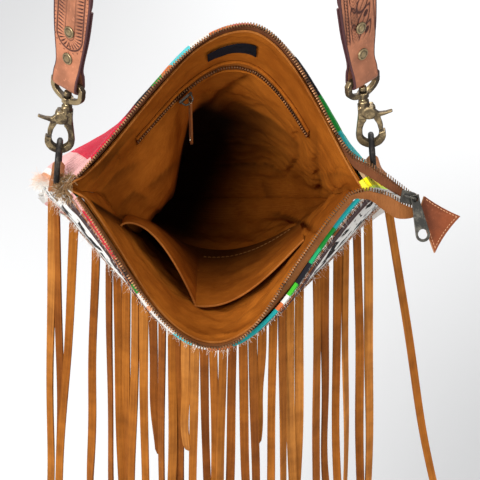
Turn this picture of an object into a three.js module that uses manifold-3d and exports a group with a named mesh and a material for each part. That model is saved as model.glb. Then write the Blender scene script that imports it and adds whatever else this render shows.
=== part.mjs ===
// Fringed western shoulder bag, hanging by its strap with the mouth open. Millimetres, +Z up.
// The origin is the hang point, under the top of the strap's arch.
import * as THREE from 'three';
import { mergeVertices } from 'three/addons/utils/BufferGeometryUtils.js';
import Module from 'manifold-3d';

const wasm = await Module();
wasm.setup();

// Driving dimensions
const MOUTH_CENTRE = new THREE.Vector3(0, -75, -490);
const MOUTH_TILT = Math.PI / 4;
const SEAM_GAP = 0.4;
const PANEL_THICKNESS = 2.2;
const PIECE_GAP = 0.3;
const PANEL_TOP = 6;
const YOKE_END = 26;
const TRIM_END = 36;
const BAND_END = 58;
const FRINGE_HEAD_END = 69;
const PANEL_END = 268;
const TAPE_WIDTH = 14;
const TAPE_THICKNESS = 0.9;
const TAPE_INSET = 2;
const TOOTH_RADIUS = 1.4;
const LINING_THICKNESS = 1.2;
const POCKET_ZIP_DEPTH = 60;
const STRIP_WIDTH = 6;
const STRIP_THICKNESS = 1.5;
const STRAP_WIDTH = 33;
const STRAP_THICKNESS = 4;
const STRAP_LAYER = 2.2;
const ARCH_RADIUS = 65;
const WIRE_RADIUS = 1.75;

const lerp = THREE.MathUtils.lerp;
const vector = (x, y, z) => new THREE.Vector3(x, y, z);

// A short table: one named column for each number of a row
function table(columns, ...rows) {
  return rows.map((row) => Object.fromEntries(columns.map((name, index) => [name, row[index]])));
}

// Each wall's rim: place of its peak, how pointed its two ends are, how full its corners are, and how far
// the zip's tape rolls over towards the outside along it, in degrees
const BACK = {
  name: 'back', side: 1, peak: 20, roll: 0,
  left: { power: 1.5, corner: 0.25 },
  right: { power: 1.2, corner: 0 },
};
const FRONT = {
  name: 'front', side: -1, peak: -4, roll: 62,
  left: { power: 1.2, corner: 0 },
  right: { power: 1.4, corner: 0 },
};

// Cross sections of the body from the mouth to the bottom seam
const BODY = table(
  ['depth', 'halfWidth', 'back', 'front', 'skew', 'power'],
  [0, 108, 118, 113, 1, 1],
  [60, 121, 103, 98, 0.45, 1],
  [130, 137, 76, 72, 0.1, 0.95],
  [200, 147, 45, 43, 0, 0.8],
  [250, 150, 27, 26, 0, 0.65],
  [268, 149, 3, 3, 0, 0.6],
);

// Cross sections of the loose lining, which hangs narrower than the body
const LINING = table(
  ['depth', 'halfWidth', 'back', 'front', 'skew', 'power'],
  [14.4, 104, 112.6, 107.6, 1, 1],
  [45, 98, 101, 97, 0.7, 1.05],
  [95, 92, 81, 78, 0.4, 1],
  [150, 90, 60, 57, 0.2, 0.9],
  [210, 92, 36, 34, 0, 0.75],
  [238, 92, 12, 12, 0, 0.6],
);

// The section of a table at a depth, on smooth curves through its rows
function sectionAt(rows, depth) {
  const last = rows.length - 1;
  const next = Math.min(Math.max(rows.findIndex((row) => row.depth >= depth), 1), last);
  const index = rows[last].depth < depth ? last : next;
  const rowAt = (i) => rows[Math.min(Math.max(i, 0), last)];
  const [a, b, c, d] = [-2, -1, 0, 1].map((offset) => rowAt(index + offset));
  const t = (depth - b.depth) / (c.depth - b.depth);
  const section = {};
  for (const key of Object.keys(b)) {
    const start = (c[key] - a[key]) / (c.depth - a.depth) * (c.depth - b.depth);
    const end = (d[key] - b[key]) / (d.depth - b.depth) * (c.depth - b.depth);
    const curve = (2 * t ** 3 - 3 * t ** 2 + 1) * b[key] + (t ** 3 - 2 * t ** 2 + t) * start;
    section[key] = curve + (3 * t ** 2 - 2 * t ** 3) * c[key] + (t ** 3 - t ** 2) * end;
  }
  return section;
}

// Height of a wall above the chord between the side seams
function wallHeight(wall, section, x) {
  const peak = wall.peak * section.skew;
  const reach = x < peak ? section.halfWidth + peak : section.halfWidth - peak;
  const share = Math.min(Math.abs(x - peak) / reach, 1);
  const rim = x < peak ? wall.left : wall.right;
  const power = lerp(section.power, rim.power, section.skew);
  const arch = Math.max(Math.cos(share * Math.PI / 2), 0);
  const rise = section[wall.name] * lerp(arch ** power, Math.sqrt(arch), rim.corner * section.skew);
  return wall.side * (SEAM_GAP / 2 + rise);
}

// A point of the body's wall: across runs from -1 at the left seam to 1 at the right
function bodyPoint(wall, across, depth) {
  const section = sectionAt(BODY, depth);
  const x = section.halfWidth * Math.sin(across * Math.PI / 2);
  return vector(x, wallHeight(wall, section, x), -depth);
}

// A closed mesh from points and triangles, turned so that its faces point out
function closedMesh(points, triangles) {
  let volume = 0;
  for (const [a, b, c] of triangles) {
    volume += points[a].dot(points[b].clone().cross(points[c]));
  }
  const geometry = new THREE.BufferGeometry();
  geometry.setFromPoints(points);
  geometry.setIndex(triangles.flatMap(([a, b, c]) => (volume > 0 ? [a, b, c] : [a, c, b])));
  return geometry;
}

// A sheet of cloth or leather between two grids of points of the same size
function gridSolid(nearGrid, farGrid) {
  const rows = nearGrid.length;
  const columns = nearGrid[0].length;
  const points = [...nearGrid.flat(), ...farGrid.flat()];
  const near = (i, j) => i * columns + j;
  const far = (i, j) => rows * columns + i * columns + j;
  const triangles = [];
  const quad = (a, b, c, d) => triangles.push([a, b, c], [a, c, d]);
  for (let i = 0; i < rows - 1; i++) {
    for (let j = 0; j < columns - 1; j++) {
      quad(near(i, j), near(i + 1, j), near(i + 1, j + 1), near(i, j + 1));
      quad(far(i, j), far(i, j + 1), far(i + 1, j + 1), far(i + 1, j));
    }
    quad(near(i, 0), far(i, 0), far(i + 1, 0), near(i + 1, 0));
    quad(near(i, columns - 1), near(i + 1, columns - 1), far(i + 1, columns - 1), far(i, columns - 1));
  }
  for (let j = 0; j < columns - 1; j++) {
    quad(near(0, j), near(0, j + 1), far(0, j + 1), far(0, j));
    quad(near(rows - 1, j), far(rows - 1, j), far(rows - 1, j + 1), near(rows - 1, j + 1));
  }
  return closedMesh(points, triangles);
}

// A sheet along a surface, from one distance above it to another
function sheet(surface, acrossRange, depths, acrossSteps, lower, upper, outward) {
  const step = 0.004;
  const grids = [lower, upper].map((distance) => depths.map((depth) => {
    const row = [];
    for (let i = 0; i <= acrossSteps; i++) {
      const across = lerp(acrossRange[0], acrossRange[1], i / acrossSteps);
      const left = surface(Math.max(across - step, -1), depth);
      const right = surface(Math.min(across + step, 1), depth);
      const along = right.sub(left);
      const down = surface(across, depth + step).sub(surface(across, depth - step));
      const normal = along.cross(down).normalize();
      normal.multiplyScalar(normal.y * outward < 0 ? -1 : 1);
      row.push(surface(across, depth).addScaledVector(normal, distance));
    }
    return row;
  }));
  return gridSolid(grids[0], grids[1]);
}

// A flat strip swept along stations, each with its centre, width direction, width and thickness
function sweptStrip(stations) {
  const corner = (station, w, t) => station.centre.clone()
    .addScaledVector(station.across, w * station.width / 2)
    .addScaledVector(station.normal, t * station.thickness / 2);
  const near = stations.map((station) => [corner(station, -1, -1), corner(station, 1, -1)]);
  const far = stations.map((station) => [corner(station, -1, 1), corner(station, 1, 1)]);
  return gridSolid(near, far);
}

// A round bar along a path
function tube(curve, radius, steps, sides) {
  const circle = new THREE.Shape();
  for (let i = 0; i < sides; i++) {
    const angle = i / sides * 2 * Math.PI;
    const [x, y] = [radius * Math.cos(angle), radius * Math.sin(angle)];
    if (i === 0) {
      circle.moveTo(x, y);
    } else {
      circle.lineTo(x, y);
    }
  }
  circle.closePath();
  return new THREE.ExtrudeGeometry(circle, { extrudePath: curve, steps, bevelEnabled: false });
}

// A flat shape of a given thickness, centred on its plane
function plate(shape, thickness, curveSegments = 6) {
  const options = { depth: thickness, bevelEnabled: false, curveSegments };
  const geometry = new THREE.ExtrudeGeometry(shape, options);
  return geometry.translate(0, 0, -thickness / 2);
}

function shapeOf(points) {
  return new THREE.Shape(points.map(([x, y]) => new THREE.Vector2(x, y)));
}

function solidOf(geometry) {
  const bare = geometry.clone();
  bare.deleteAttribute('normal');
  bare.deleteAttribute('uv');
  const merged = mergeVertices(bare, 1e-3);
  const vertProperties = Float32Array.from(merged.attributes.position.array);
  const triVerts = Uint32Array.from(merged.index.array);
  return new wasm.Manifold(new wasm.Mesh({ numProp: 3, vertProperties, triVerts }));
}

function geometryOf(solid) {
  const mesh = solid.getMesh();
  const geometry = new THREE.BufferGeometry();
  geometry.setAttribute('position', new THREE.BufferAttribute(mesh.vertProperties.slice(), 3));
  geometry.setIndex(new THREE.BufferAttribute(mesh.triVerts.slice(), 1));
  return geometry;
}

function join(...geometries) {
  return geometryOf(geometries.map(solidOf).reduce((sum, solid) => sum.add(solid)));
}

function cut(geometry, ...tools) {
  return geometryOf(tools.map(solidOf).reduce((rest, tool) => rest.subtract(tool), solidOf(geometry)));
}

const FINISHES = {
  blanket: { color: 0xc9483f, roughness: 0.95, metalness: 0 },
  hair: { color: 0xe8e2d6, roughness: 0.95, metalness: 0 },
  trim: { color: 0x4a2716, roughness: 0.6, metalness: 0 },
  suede: { color: 0xa8642c, roughness: 0.9, metalness: 0 },
  cotton: { color: 0xa8672f, roughness: 0.9, metalness: 0 },
  tape: { color: 0x7a4a22, roughness: 0.9, metalness: 0 },
  tooled: { color: 0x9a4f2c, roughness: 0.5, metalness: 0 },
  brass: { color: 0x8a7443, roughness: 0.35, metalness: 1 },
  gunmetal: { color: 0x3a3a3a, roughness: 0.35, metalness: 1 },
  black: { color: 0x141414, roughness: 0.8, metalness: 0 },
};

function piece(parent, name, geometry, finish) {
  const mesh = new THREE.Mesh(geometry, new THREE.MeshStandardMaterial(FINISHES[finish]));
  mesh.name = name;
  parent.add(mesh);
  return mesh;
}

const handbag = new THREE.Group();
const bag = new THREE.Group();
bag.position.copy(MOUTH_CENTRE);
bag.rotation.x = MOUTH_TILT;
handbag.add(bag);
bag.updateMatrixWorld(true);
const PLUMB = vector(0, -Math.sin(MOUTH_TILT), -Math.cos(MOUTH_TILT));

// Evenly spaced values from one end to the other
function evenSteps(start, end, steps) {
  return Array.from({ length: steps + 1 }, (_, i) => lerp(start, end, i / steps));
}

// Body panels, sewn edge to edge
function panel(name, wall, start, end, steps, finish) {
  const surface = (across, depth) => bodyPoint(wall, across, depth);
  const depths = evenSteps(start, end, steps);
  const geometry = sheet(surface, [-1, 1], depths, 24, 0, PANEL_THICKNESS, wall.side);
  piece(bag, name, geometry, finish);
}

panel('back_panel', BACK, PANEL_TOP, PANEL_END, 8, 'blanket');
panel('front_yoke', FRONT, PANEL_TOP, YOKE_END, 1, 'blanket');
panel('front_trim', FRONT, YOKE_END + PIECE_GAP, TRIM_END, 1, 'trim');
panel('front_band', FRONT, TRIM_END + PIECE_GAP, BAND_END, 1, 'hair');
panel('front_panel', FRONT, BAND_END + PIECE_GAP, PANEL_END, 8, 'blanket');

// Where each strip of the fringe starts, across the front panel, and how far it leans
const STRIPS = table(
  ['across', 'lean'],
  [-0.89, -0.086], [-0.823, -0.06], [-0.65, -0.097], [-0.511, -0.067], [-0.443, -0.044],
  [-0.404, -0.038], [-0.362, -0.052], [-0.322, -0.047], [-0.287, -0.026], [-0.249, -0.028],
  [-0.212, -0.041], [-0.176, -0.028], [-0.148, -0.011], [-0.12, -0.022], [-0.089, -0.029],
  [-0.058, -0.01], [-0.027, 0], [0.011, -0.014], [0.046, -0.012], [0.081, 0.01],
  [0.116, 0.01], [0.151, -0.003], [0.195, 0.008], [0.228, 0.027], [0.261, 0.019],
  [0.3, 0.01], [0.375, 0.031], [0.413, 0.043], [0.479, 0.032], [0.522, 0.031],
  [0.588, 0.053], [0.665, 0.057], [0.89, 0.178],
);

// Share of the full length that the short strips have, by their number
const SHORT_STRIPS = { 3: 0.8, 9: 0.5, 13: 0.4, 21: 0.42, 27: 0.78 };

// Fringe: strips fused to a head that lies on the front panel
function fringe() {
  const surface = (across, depth) => bodyPoint(FRONT, across, depth);
  const base = PANEL_THICKNESS + 5 * PIECE_GAP;
  const headThickness = 2;
  const depths = [BAND_END + 1, FRINGE_HEAD_END];
  let solid = solidOf(sheet(surface, [-0.985, 0.985], depths, 18, base, base + headThickness, FRONT.side));
  const rootDepth = FRINGE_HEAD_END - 2;
  const longest = 380;
  const bends = 2;
  for (let i = 0; i < STRIPS.length; i++) {
    const { across, lean } = STRIPS[i];
    const left = surface(across - 0.004, rootDepth);
    const right = surface(across + 0.004, rootDepth);
    const headLine = right.clone().sub(left).normalize();
    const out = vector(headLine.y, -headLine.x, 0);
    const root = surface(across, rootDepth).addScaledVector(out, base + headThickness / 2);
    const length = longest * (SHORT_STRIPS[i] ?? 1) - 18 * (0.5 + 0.5 * Math.sin(i * 2.4));
    const level = headLine.clone().addScaledVector(PLUMB, -headLine.dot(PLUMB)).normalize();
    const yaw = 0.35 * Math.sin(i * 2.1);
    const facing = level.lerp(vector(Math.sign(headLine.x), 0, 0), 0.3).normalize();
    const acrossStrip = facing.applyAxisAngle(PLUMB, yaw);
    const normal = acrossStrip.clone().cross(PLUMB).normalize();
    const stations = [];
    for (let j = 0; j <= bends; j++) {
      const drop = j / bends * length;
      const sway = 3 * Math.sin(i * 1.3 + j * 1.1) * j / bends;
      const forward = 4 * (i % 3) * j / bends;
      const centre = root.clone().addScaledVector(PLUMB, drop);
      centre.add(vector(lean * drop + sway, -forward * 0.7, forward * 0.7));
      stations.push({ centre, across: acrossStrip, normal, width: STRIP_WIDTH, thickness: STRIP_THICKNESS });
    }
    solid = solid.add(solidOf(sweptStrip(stations)));
  }
  piece(bag, 'fringe', geometryOf(solid), 'suede');
}
fringe();

// Lining: one soft pouch, closed at its bottom
function liningSection(depth, inset) {
  const section = sectionAt(LINING, depth);
  section.halfWidth -= 2 * inset;
  section.back -= inset;
  section.front -= inset;
  return section;
}

function liningPoint(wall, x, depth) {
  return vector(x, wallHeight(wall, liningSection(depth, LINING_THICKNESS), x), -depth);
}

function lining() {
  const half = 18;
  const around = 2 * half;
  const depths = [14.4, 30, 45, 70, 95, 122, 150, 180, 210, 238];
  const points = [];
  const triangles = [];
  const quad = (a, b, c, d) => triangles.push([a, b, c], [a, c, d]);
  const ring = (depth, inset, lift) => {
    const section = liningSection(depth, inset);
    const start = points.length;
    for (let i = 0; i < around; i++) {
      const wall = i < half ? BACK : FRONT;
      const x = section.halfWidth * Math.cos(i / half * Math.PI);
      const onSeam = i % half === 0;
      points.push(vector(x, onSeam ? 0 : wallHeight(wall, section, x), -depth + lift));
    }
    return start;
  };
  const last = depths.length - 1;
  const outer = depths.map((depth) => ring(depth, 0, 0));
  const inner = depths.map((depth, i) => ring(depth, LINING_THICKNESS, i === last ? LINING_THICKNESS : 0));
  for (let i = 0; i < around; i++) {
    const next = (i + 1) % around;
    for (let j = 0; j < last; j++) {
      quad(outer[j] + i, outer[j + 1] + i, outer[j + 1] + next, outer[j] + next);
      quad(inner[j] + i, inner[j] + next, inner[j + 1] + next, inner[j + 1] + i);
    }
    quad(outer[0] + i, outer[0] + next, inner[0] + next, inner[0] + i);
  }
  const floor = (start, flip) => {
    const face = (a, b, c) => triangles.push(flip ? [a, c, b] : [a, b, c]);
    const at = (i) => start + (i + around) % around;
    for (let i = 0; i < half; i++) {
      if (i > 0) {
        face(at(i), at(i + 1), at(-i));
      }
      if (i < half - 1) {
        face(at(i + 1), at(-i - 1), at(-i));
      }
    }
  };
  floor(outer[last], true);
  floor(inner[last], false);
  piece(bag, 'lining', closedMesh(points, triangles), 'cotton');
}
lining();

// Slip pocket: one sheet on the front wall, gaping in two compartments
const POCKET = { left: -73, seam: -18, right: 62, top: 62, bottom: 180, gape: 26, steps: 16 };

function slipPocket() {
  const depths = evenSteps(POCKET.top, POCKET.bottom, 6);
  const grids = [0, LINING_THICKNESS].map((rise) => depths.map((depth) => {
    const closing = (POCKET.bottom - depth) / (POCKET.bottom - POCKET.top);
    const row = [];
    for (let i = 0; i <= POCKET.steps; i++) {
      const leftHalf = i < POCKET.steps / 2;
      const share = (leftHalf ? i : i - POCKET.steps / 2) / (POCKET.steps / 2);
      const x = leftHalf ? lerp(POCKET.left, POCKET.seam, share) : lerp(POCKET.seam, POCKET.right, share);
      const bulge = POCKET.gape * Math.sin(Math.PI * share) ** 0.8 * closing ** 0.7;
      const point = liningPoint(FRONT, x, depth);
      point.y += 4 * PIECE_GAP + bulge + rise;
      row.push(point);
    }
    return row;
  }));
  piece(bag, 'slip_pocket', gridSolid(grids[0], grids[1]), 'cotton');
}
slipPocket();

// Pocket zip and label on the back wall of the lining
const POCKET_ZIP = { left: -62, right: 66, tape: 12, slider: -27, end: 3, drop: 4.6 };
const LABEL = { left: -9, right: 27, top: 27, bottom: 40 };

function wallPatch(name, left, right, start, end, steps, lower, upper, finish) {
  const grids = [lower, upper].map((drop) => [start, end].map((depth) => {
    const row = [];
    for (let i = 0; i <= steps; i++) {
      const point = liningPoint(BACK, lerp(left, right, i / steps), depth);
      point.y -= drop;
      row.push(point);
    }
    return row;
  }));
  piece(bag, name, gridSolid(grids[0], grids[1]), finish);
}

const zipTop = POCKET_ZIP_DEPTH - POCKET_ZIP.tape / 2;
const zipEnd = zipTop + POCKET_ZIP.tape;
wallPatch('pocket_zip_tape', POCKET_ZIP.left, POCKET_ZIP.right, zipTop, zipEnd, 16, 1.15, 1.95, 'tape');
wallPatch('label', LABEL.left, LABEL.right, LABEL.top, LABEL.bottom, 6, 1.7, 2.3, 'black');

function pocketZip() {
  const onTape = (x) => liningPoint(BACK, x, POCKET_ZIP_DEPTH).sub(vector(0, POCKET_ZIP.drop, 0));
  const places = evenSteps(POCKET_ZIP.left + POCKET_ZIP.end, POCKET_ZIP.right - POCKET_ZIP.end, 16);
  const points = places.map(onTape);
  const curve = new THREE.CatmullRomCurve3(points);
  piece(bag, 'pocket_zip_teeth', tube(curve, TOOTH_RADIUS, 24, 6), 'tape');

  const slider = new THREE.Group();
  slider.position.copy(onTape(POCKET_ZIP.slider));
  const along = onTape(POCKET_ZIP.slider + 2).sub(onTape(POCKET_ZIP.slider - 2)).normalize();
  slider.rotation.z = Math.atan2(along.y, along.x);
  bag.add(slider);
  piece(slider, 'pocket_zip_slider', sliderGeometry(), 'brass').rotation.x = Math.PI / 2;
  const pull = new THREE.Group();
  pull.position.copy(slider.position).add(vector(along.y, -along.x, 0).multiplyScalar(BRIDGE_HEIGHT));
  pull.rotation.x = -MOUTH_TILT;
  bag.add(pull);
  const hanging = pullGeometry(POCKET_PULL_LENGTH, 7).rotateX(Math.PI / 2).rotateZ(Math.PI / 2 + 0.25);
  piece(pull, 'pocket_zip_pull', hanging, 'brass');
}

// A zip slider: a plate over the teeth with an arched bridge for the pull, lying on +Z
const SLIDER_BASE = TOOTH_RADIUS + PIECE_GAP;
const BRIDGE_RISE = 6.2;
const BRIDGE_HEIGHT = SLIDER_BASE + BRIDGE_RISE;
const BRIDGE_LEG = 3.95;
const POCKET_PULL_LENGTH = 40;

function sliderGeometry() {
  const outline = shapeOf([[-6, -4.5], [3, -4.5], [6, -2.5], [6, 2.5], [3, 4.5], [-6, 4.5]]);
  const body = plate(outline, 1.8).translate(0, 0, SLIDER_BASE + 0.9);
  const arch = new THREE.CatmullRomCurve3([
    vector(-4.6, 0, SLIDER_BASE + 1), vector(-3.6, 0, SLIDER_BASE + 5), vector(0, 0, BRIDGE_HEIGHT),
    vector(3.6, 0, SLIDER_BASE + 5), vector(4.6, 0, SLIDER_BASE + 1),
  ]);
  return join(body, tube(arch, 0.8, 8, 6));
}

// A flat pull in the XY plane, with its eye at the origin and a round hole near its foot
function pullGeometry(length, width) {
  const half = width / 2;
  const shape = new THREE.Shape();
  shape.moveTo(-3.2, 2.8);
  shape.lineTo(3.2, 2.8);
  shape.lineTo(3.2, -4);
  shape.lineTo(half, -length + half);
  shape.absarc(0, -length + half, half, 0, Math.PI, true);
  shape.lineTo(-3.2, -4);
  const eye = new THREE.Path();
  eye.absarc(0, 0, 2.3, 0, 2 * Math.PI, false);
  const hole = new THREE.Path();
  hole.absarc(0, -length + half + 0.4, half - 1.6, 0, 2 * Math.PI, false);
  shape.holes.push(eye, hole);
  return plate(shape, 1.6, 6);
}
pocketZip();

// Mouth zip: both tapes follow the rim and run on past the right corner to the end tab
const BACK_TAIL = table(
  ['x', 'y', 'tilt', 'width'],
  [89, 29.6, -25, 8],
  [96, 22.4, -50, 8.5],
  [104.8, 18.2, -60, 9],
  [111.5, 13.8, -62, 9],
  [118.3, 9.5, -62, 9],
  [125, 4.7, -62, 8],
  [131, 0.2, -64, 6.5],
  [136, -3.4, -66, 5],
  [141, -5.4, -68, 4],
);
const FRONT_TAIL = table(
  ['x', 'y', 'tilt', 'width'],
  [104.8, -0.7, -62, 6.5],
  [109.5, -1.5, -66, 8],
  [114, -2.5, -72, 10.5],
  [119, -3.9, -76, 12.5],
  [124, -6.5, -78, 13],
  [129, -9.4, -80, 11],
  [135, -11.9, -80, 8],
  [141, -13.6, -76, 4.5],
);

// The zip's tail droops away from the mouth's plane
const TAIL_START = 110;
const TAIL_DROOP = 0.23;
const tailDepth = (x) => -Math.max(x - TAIL_START, 0) * Math.tan(TAIL_DROOP);

// Share of the rim over which the front tape rolls over, and its width where it has
const ROLL_START = 0.05;
const ROLL_END = 0.62;
const ROLL_STEP = 0.01;
const ROLLED_WIDTH = 5;
const ZIP_START = -0.78;

function zipStations(wall, start, end, tail) {
  const stations = [];
  const steps = 30;
  for (let i = 0; i <= steps; i++) {
    const across = lerp(start, end, i / steps);
    const edge = bodyPoint(wall, across, 0);
    const slope = bodyPoint(wall, across, TAPE_WIDTH).sub(edge).normalize();
    const along = bodyPoint(wall, across + ROLL_STEP, 0).sub(bodyPoint(wall, across - ROLL_STEP, 0));
    const outward = along.cross(slope).normalize();
    outward.multiplyScalar(outward.y * wall.side < 0 ? -1 : 1);
    const rolled = THREE.MathUtils.smoothstep(across, ROLL_START, ROLL_END);
    const roll = THREE.MathUtils.degToRad(wall.roll * rolled);
    const width = lerp(TAPE_WIDTH, wall.roll > 0 ? ROLLED_WIDTH : TAPE_WIDTH, rolled);
    const lie = slope.multiplyScalar(Math.cos(roll)).addScaledVector(outward, Math.sin(roll));
    edge.addScaledVector(outward, -TAPE_INSET - width * Math.sin(roll));
    stations.push({ edge, across: lie, width });
  }
  for (const row of tail) {
    const tilt = THREE.MathUtils.degToRad(row.tilt);
    const across = vector(0, Math.sin(tilt), -Math.cos(tilt));
    stations.push({ edge: vector(row.x, row.y, tailDepth(row.x)), across, width: row.width });
  }
  stations.forEach((station, i) => {
    const before = stations[Math.max(i - 1, 0)].edge;
    const after = stations[Math.min(i + 1, stations.length - 1)].edge;
    const along = after.clone().sub(before).normalize();
    station.normal = along.cross(station.across).normalize();
    station.normal.multiplyScalar(station.normal.y * wall.side < 0 ? -1 : 1);
  });
  for (const station of stations) {
    station.thickness = TAPE_THICKNESS;
    station.centre = station.edge.clone().addScaledVector(station.across, station.width / 2);
    station.bead = station.edge.clone().addScaledVector(station.across, -TOOTH_RADIUS - 2 * PIECE_GAP);
  }
  return stations;
}

function mouthZip() {
  const runs = [[BACK, 0.55, BACK_TAIL], [FRONT, 0.72, FRONT_TAIL]];
  for (const [wall, end, tail] of runs) {
    const stations = zipStations(wall, ZIP_START, end, tail);
    piece(bag, `zip_tape_${wall.name}`, sweptStrip(stations), 'tape');
    const curve = new THREE.CatmullRomCurve3(stations.map((station) => station.bead));
    piece(bag, `zip_teeth_${wall.name}`, tube(curve, TOOTH_RADIUS, 40, 5), 'brass');
  }
}
mouthZip();

// Slider, pull and leather end tab on the zip's tail
const SLIDER = { x: 133, y: -5.4, turn: -0.24, lift: 1.2 };
const PULL_LENGTH = 31;

function zipTail() {
  const tail = new THREE.Group();
  tail.position.set(SLIDER.x, SLIDER.y, tailDepth(SLIDER.x));
  tail.rotation.y = TAIL_DROOP;
  bag.add(tail);
  const slider = new THREE.Group();
  slider.position.z = SLIDER.lift;
  slider.rotation.z = SLIDER.turn;
  tail.add(slider);
  piece(slider, 'zip_slider', sliderGeometry(), 'gunmetal');
  const pull = new THREE.Group();
  pull.position.set(BRIDGE_LEG, 0, SLIDER_BASE + 3.2);
  pull.rotation.z = Math.atan(Math.sin(TAIL_DROOP)) - SLIDER.turn;
  slider.add(pull);
  piece(pull, 'zip_pull', pullGeometry(PULL_LENGTH, 10.5), 'gunmetal');

  const corners = [[12.4, 1.4], [39.5, -12.9], [20.2, -39.2], [8.9, -9.2]];
  piece(tail, 'zip_end_tab', plate(shapeOf(corners), 3.2), 'tooled');
}
zipTail();

// Rings, snaps and strap ends: place of the ring's bar in the bag's frame, and the tab's reach to the seam
const HANGERS = table(
  ['name', 'side', 'x', 'y', 'z', 'tabReach'],
  ['left', -1, -115, 13.5, -15, 3.6],
  ['right', 1, 110, 18, -21, 7],
);
const RING = { half: 12.5, leg: 12 };
const HOOK = { centre: 28.2, radius: 8.2, half: 2.4, pivot: 48, axis: -3.5, tipAngle: 0.28 };
const EYE = { half: 11, bar: 4, bottom: 60.5, top: 78.5, yaw: 0.7, round: 9.5 };

function frameOf(origin, up, outward) {
  const zAxis = up.clone().normalize();
  const xAxis = outward.clone().addScaledVector(zAxis, -outward.dot(zAxis)).normalize();
  const yAxis = zAxis.clone().cross(xAxis);
  const group = new THREE.Group();
  group.position.copy(origin);
  group.quaternion.setFromRotationMatrix(new THREE.Matrix4().makeBasis(xAxis, yAxis, zAxis));
  handbag.add(group);
  group.updateMatrixWorld(true);
  return group;
}

// A closed ring of wire through points in order
function wireLoop(points, radius, steps, sides) {
  const curve = new THREE.CatmullRomCurve3(points, true, 'catmullrom', 0.5);
  const frames = curve.computeFrenetFrames(steps, true);
  const vertices = [];
  const triangles = [];
  for (let i = 0; i < steps; i++) {
    for (let j = 0; j < sides; j++) {
      const angle = j / sides * 2 * Math.PI;
      const centre = curve.getPointAt(i / steps);
      centre.addScaledVector(frames.normals[i], radius * Math.cos(angle));
      vertices.push(centre.addScaledVector(frames.binormals[i], radius * Math.sin(angle)));
      const [a, b] = [i * sides + j, i * sides + (j + 1) % sides];
      const [c, d] = [a, b].map((k) => (k + sides) % (steps * sides));
      triangles.push([a, b, d], [a, d, c]);
    }
  }
  return closedMesh(vertices, triangles);
}

function dRing(group, name) {
  const points = [vector(0, -RING.half + 1, 0), vector(0, 0, 0), vector(0, RING.half - 1, 0)];
  points.push(vector(0, RING.half, 1), vector(0, RING.half, RING.leg / 2));
  for (let i = 0; i <= 6; i++) {
    const angle = i / 6 * Math.PI;
    points.push(vector(0, RING.half * Math.cos(angle), RING.leg + RING.half * Math.sin(angle)));
  }
  points.push(vector(0, -RING.half, RING.leg / 2), vector(0, -RING.half, 1));
  piece(group, `d_ring_${name}`, wireLoop(points, WIRE_RADIUS, 32, 5), 'brass');
}

// Stations of a strap of leather whose centre line is given in a plane, as [out, up] pairs
function strapStations(points, across = vector(0, 1, 0)) {
  return points.map((point, i) => {
    const before = points[Math.max(i - 1, 0)].centre;
    const after = points[Math.min(i + 1, points.length - 1)].centre;
    const along = after.clone().sub(before).normalize();
    const side = (point.across ?? across).clone().addScaledVector(along, -along.dot(point.across ?? across));
    return { ...point, across: side.normalize(), normal: along.clone().cross(side).normalize() };
  });
}

function ringTab(group, name, reach) {
  const turn = WIRE_RADIUS + PIECE_GAP + 1.05;
  const rows = [[reach + 1.3, -13], [reach * 0.55 + 1.3, -7.5]];
  for (let i = 0; i <= 6; i++) {
    const angle = i / 6 * Math.PI;
    rows.push([turn * Math.cos(angle), turn * Math.sin(angle)]);
  }
  rows.push([reach * 0.55 - 1.3, -7.5], [reach - 1.3, -13]);
  const points = rows.map(([out, up]) => ({ centre: vector(out, 0, up), width: 14, thickness: 2 }));
  piece(group, `d_tab_${name}`, sweptStrip(strapStations(points, vector(0, 1, 0))), 'tooled');
}

// The hook: ring and spine in one plate, a slotted block for the lever, collar, stem and swivel ball
function snapHook(group, name) {
  const [outer, inner] = [HOOK.radius + HOOK.half, HOOK.radius - HOOK.half];
  const shape = new THREE.Shape();
  shape.absarc(0, HOOK.centre, outer, HOOK.tipAngle, -Math.PI, true);
  shape.lineTo(-8, 46);
  shape.lineTo(-2.4, 46);
  shape.lineTo(-2.4, 41);
  shape.quadraticCurveTo(-inner, 37, -inner, HOOK.centre + 3);
  shape.lineTo(-inner, HOOK.centre);
  shape.absarc(0, HOOK.centre, inner, -Math.PI, HOOK.tipAngle, false);
  const ring = plate(shape, 5, 10).rotateX(Math.PI / 2);
  const block = new THREE.BoxGeometry(11.2, 7.4, 10).translate(-2.4, 0, HOOK.pivot);
  const slot = new THREE.BoxGeometry(10, 3.9, 10.4).translate(1.6, 0, HOOK.pivot - 1.2);
  const pin = new THREE.CylinderGeometry(1.2, 1.2, 8.4, 8).translate(0, 0, HOOK.pivot);
  const stemPoints = [[0, 52], [4, 52], [4, 57], [2, 58.2], [2, 64.5], [3.1, 66.4], [2.6, 69], [0, 70.2]];
  const stem = new THREE.LatheGeometry(stemPoints.map(([r, z]) => new THREE.Vector2(r, z)), 10);
  stem.rotateX(Math.PI / 2).translate(HOOK.axis, 0, 0);
  const boss = new THREE.CylinderGeometry(4.7, 4.7, 8.8, 16).translate(0, 0, HOOK.pivot);
  const slotted = cut(join(ring, block, boss), slot);
  piece(group, `snap_hook_${name}`, join(slotted, pin, stem), 'brass');
}

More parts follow.
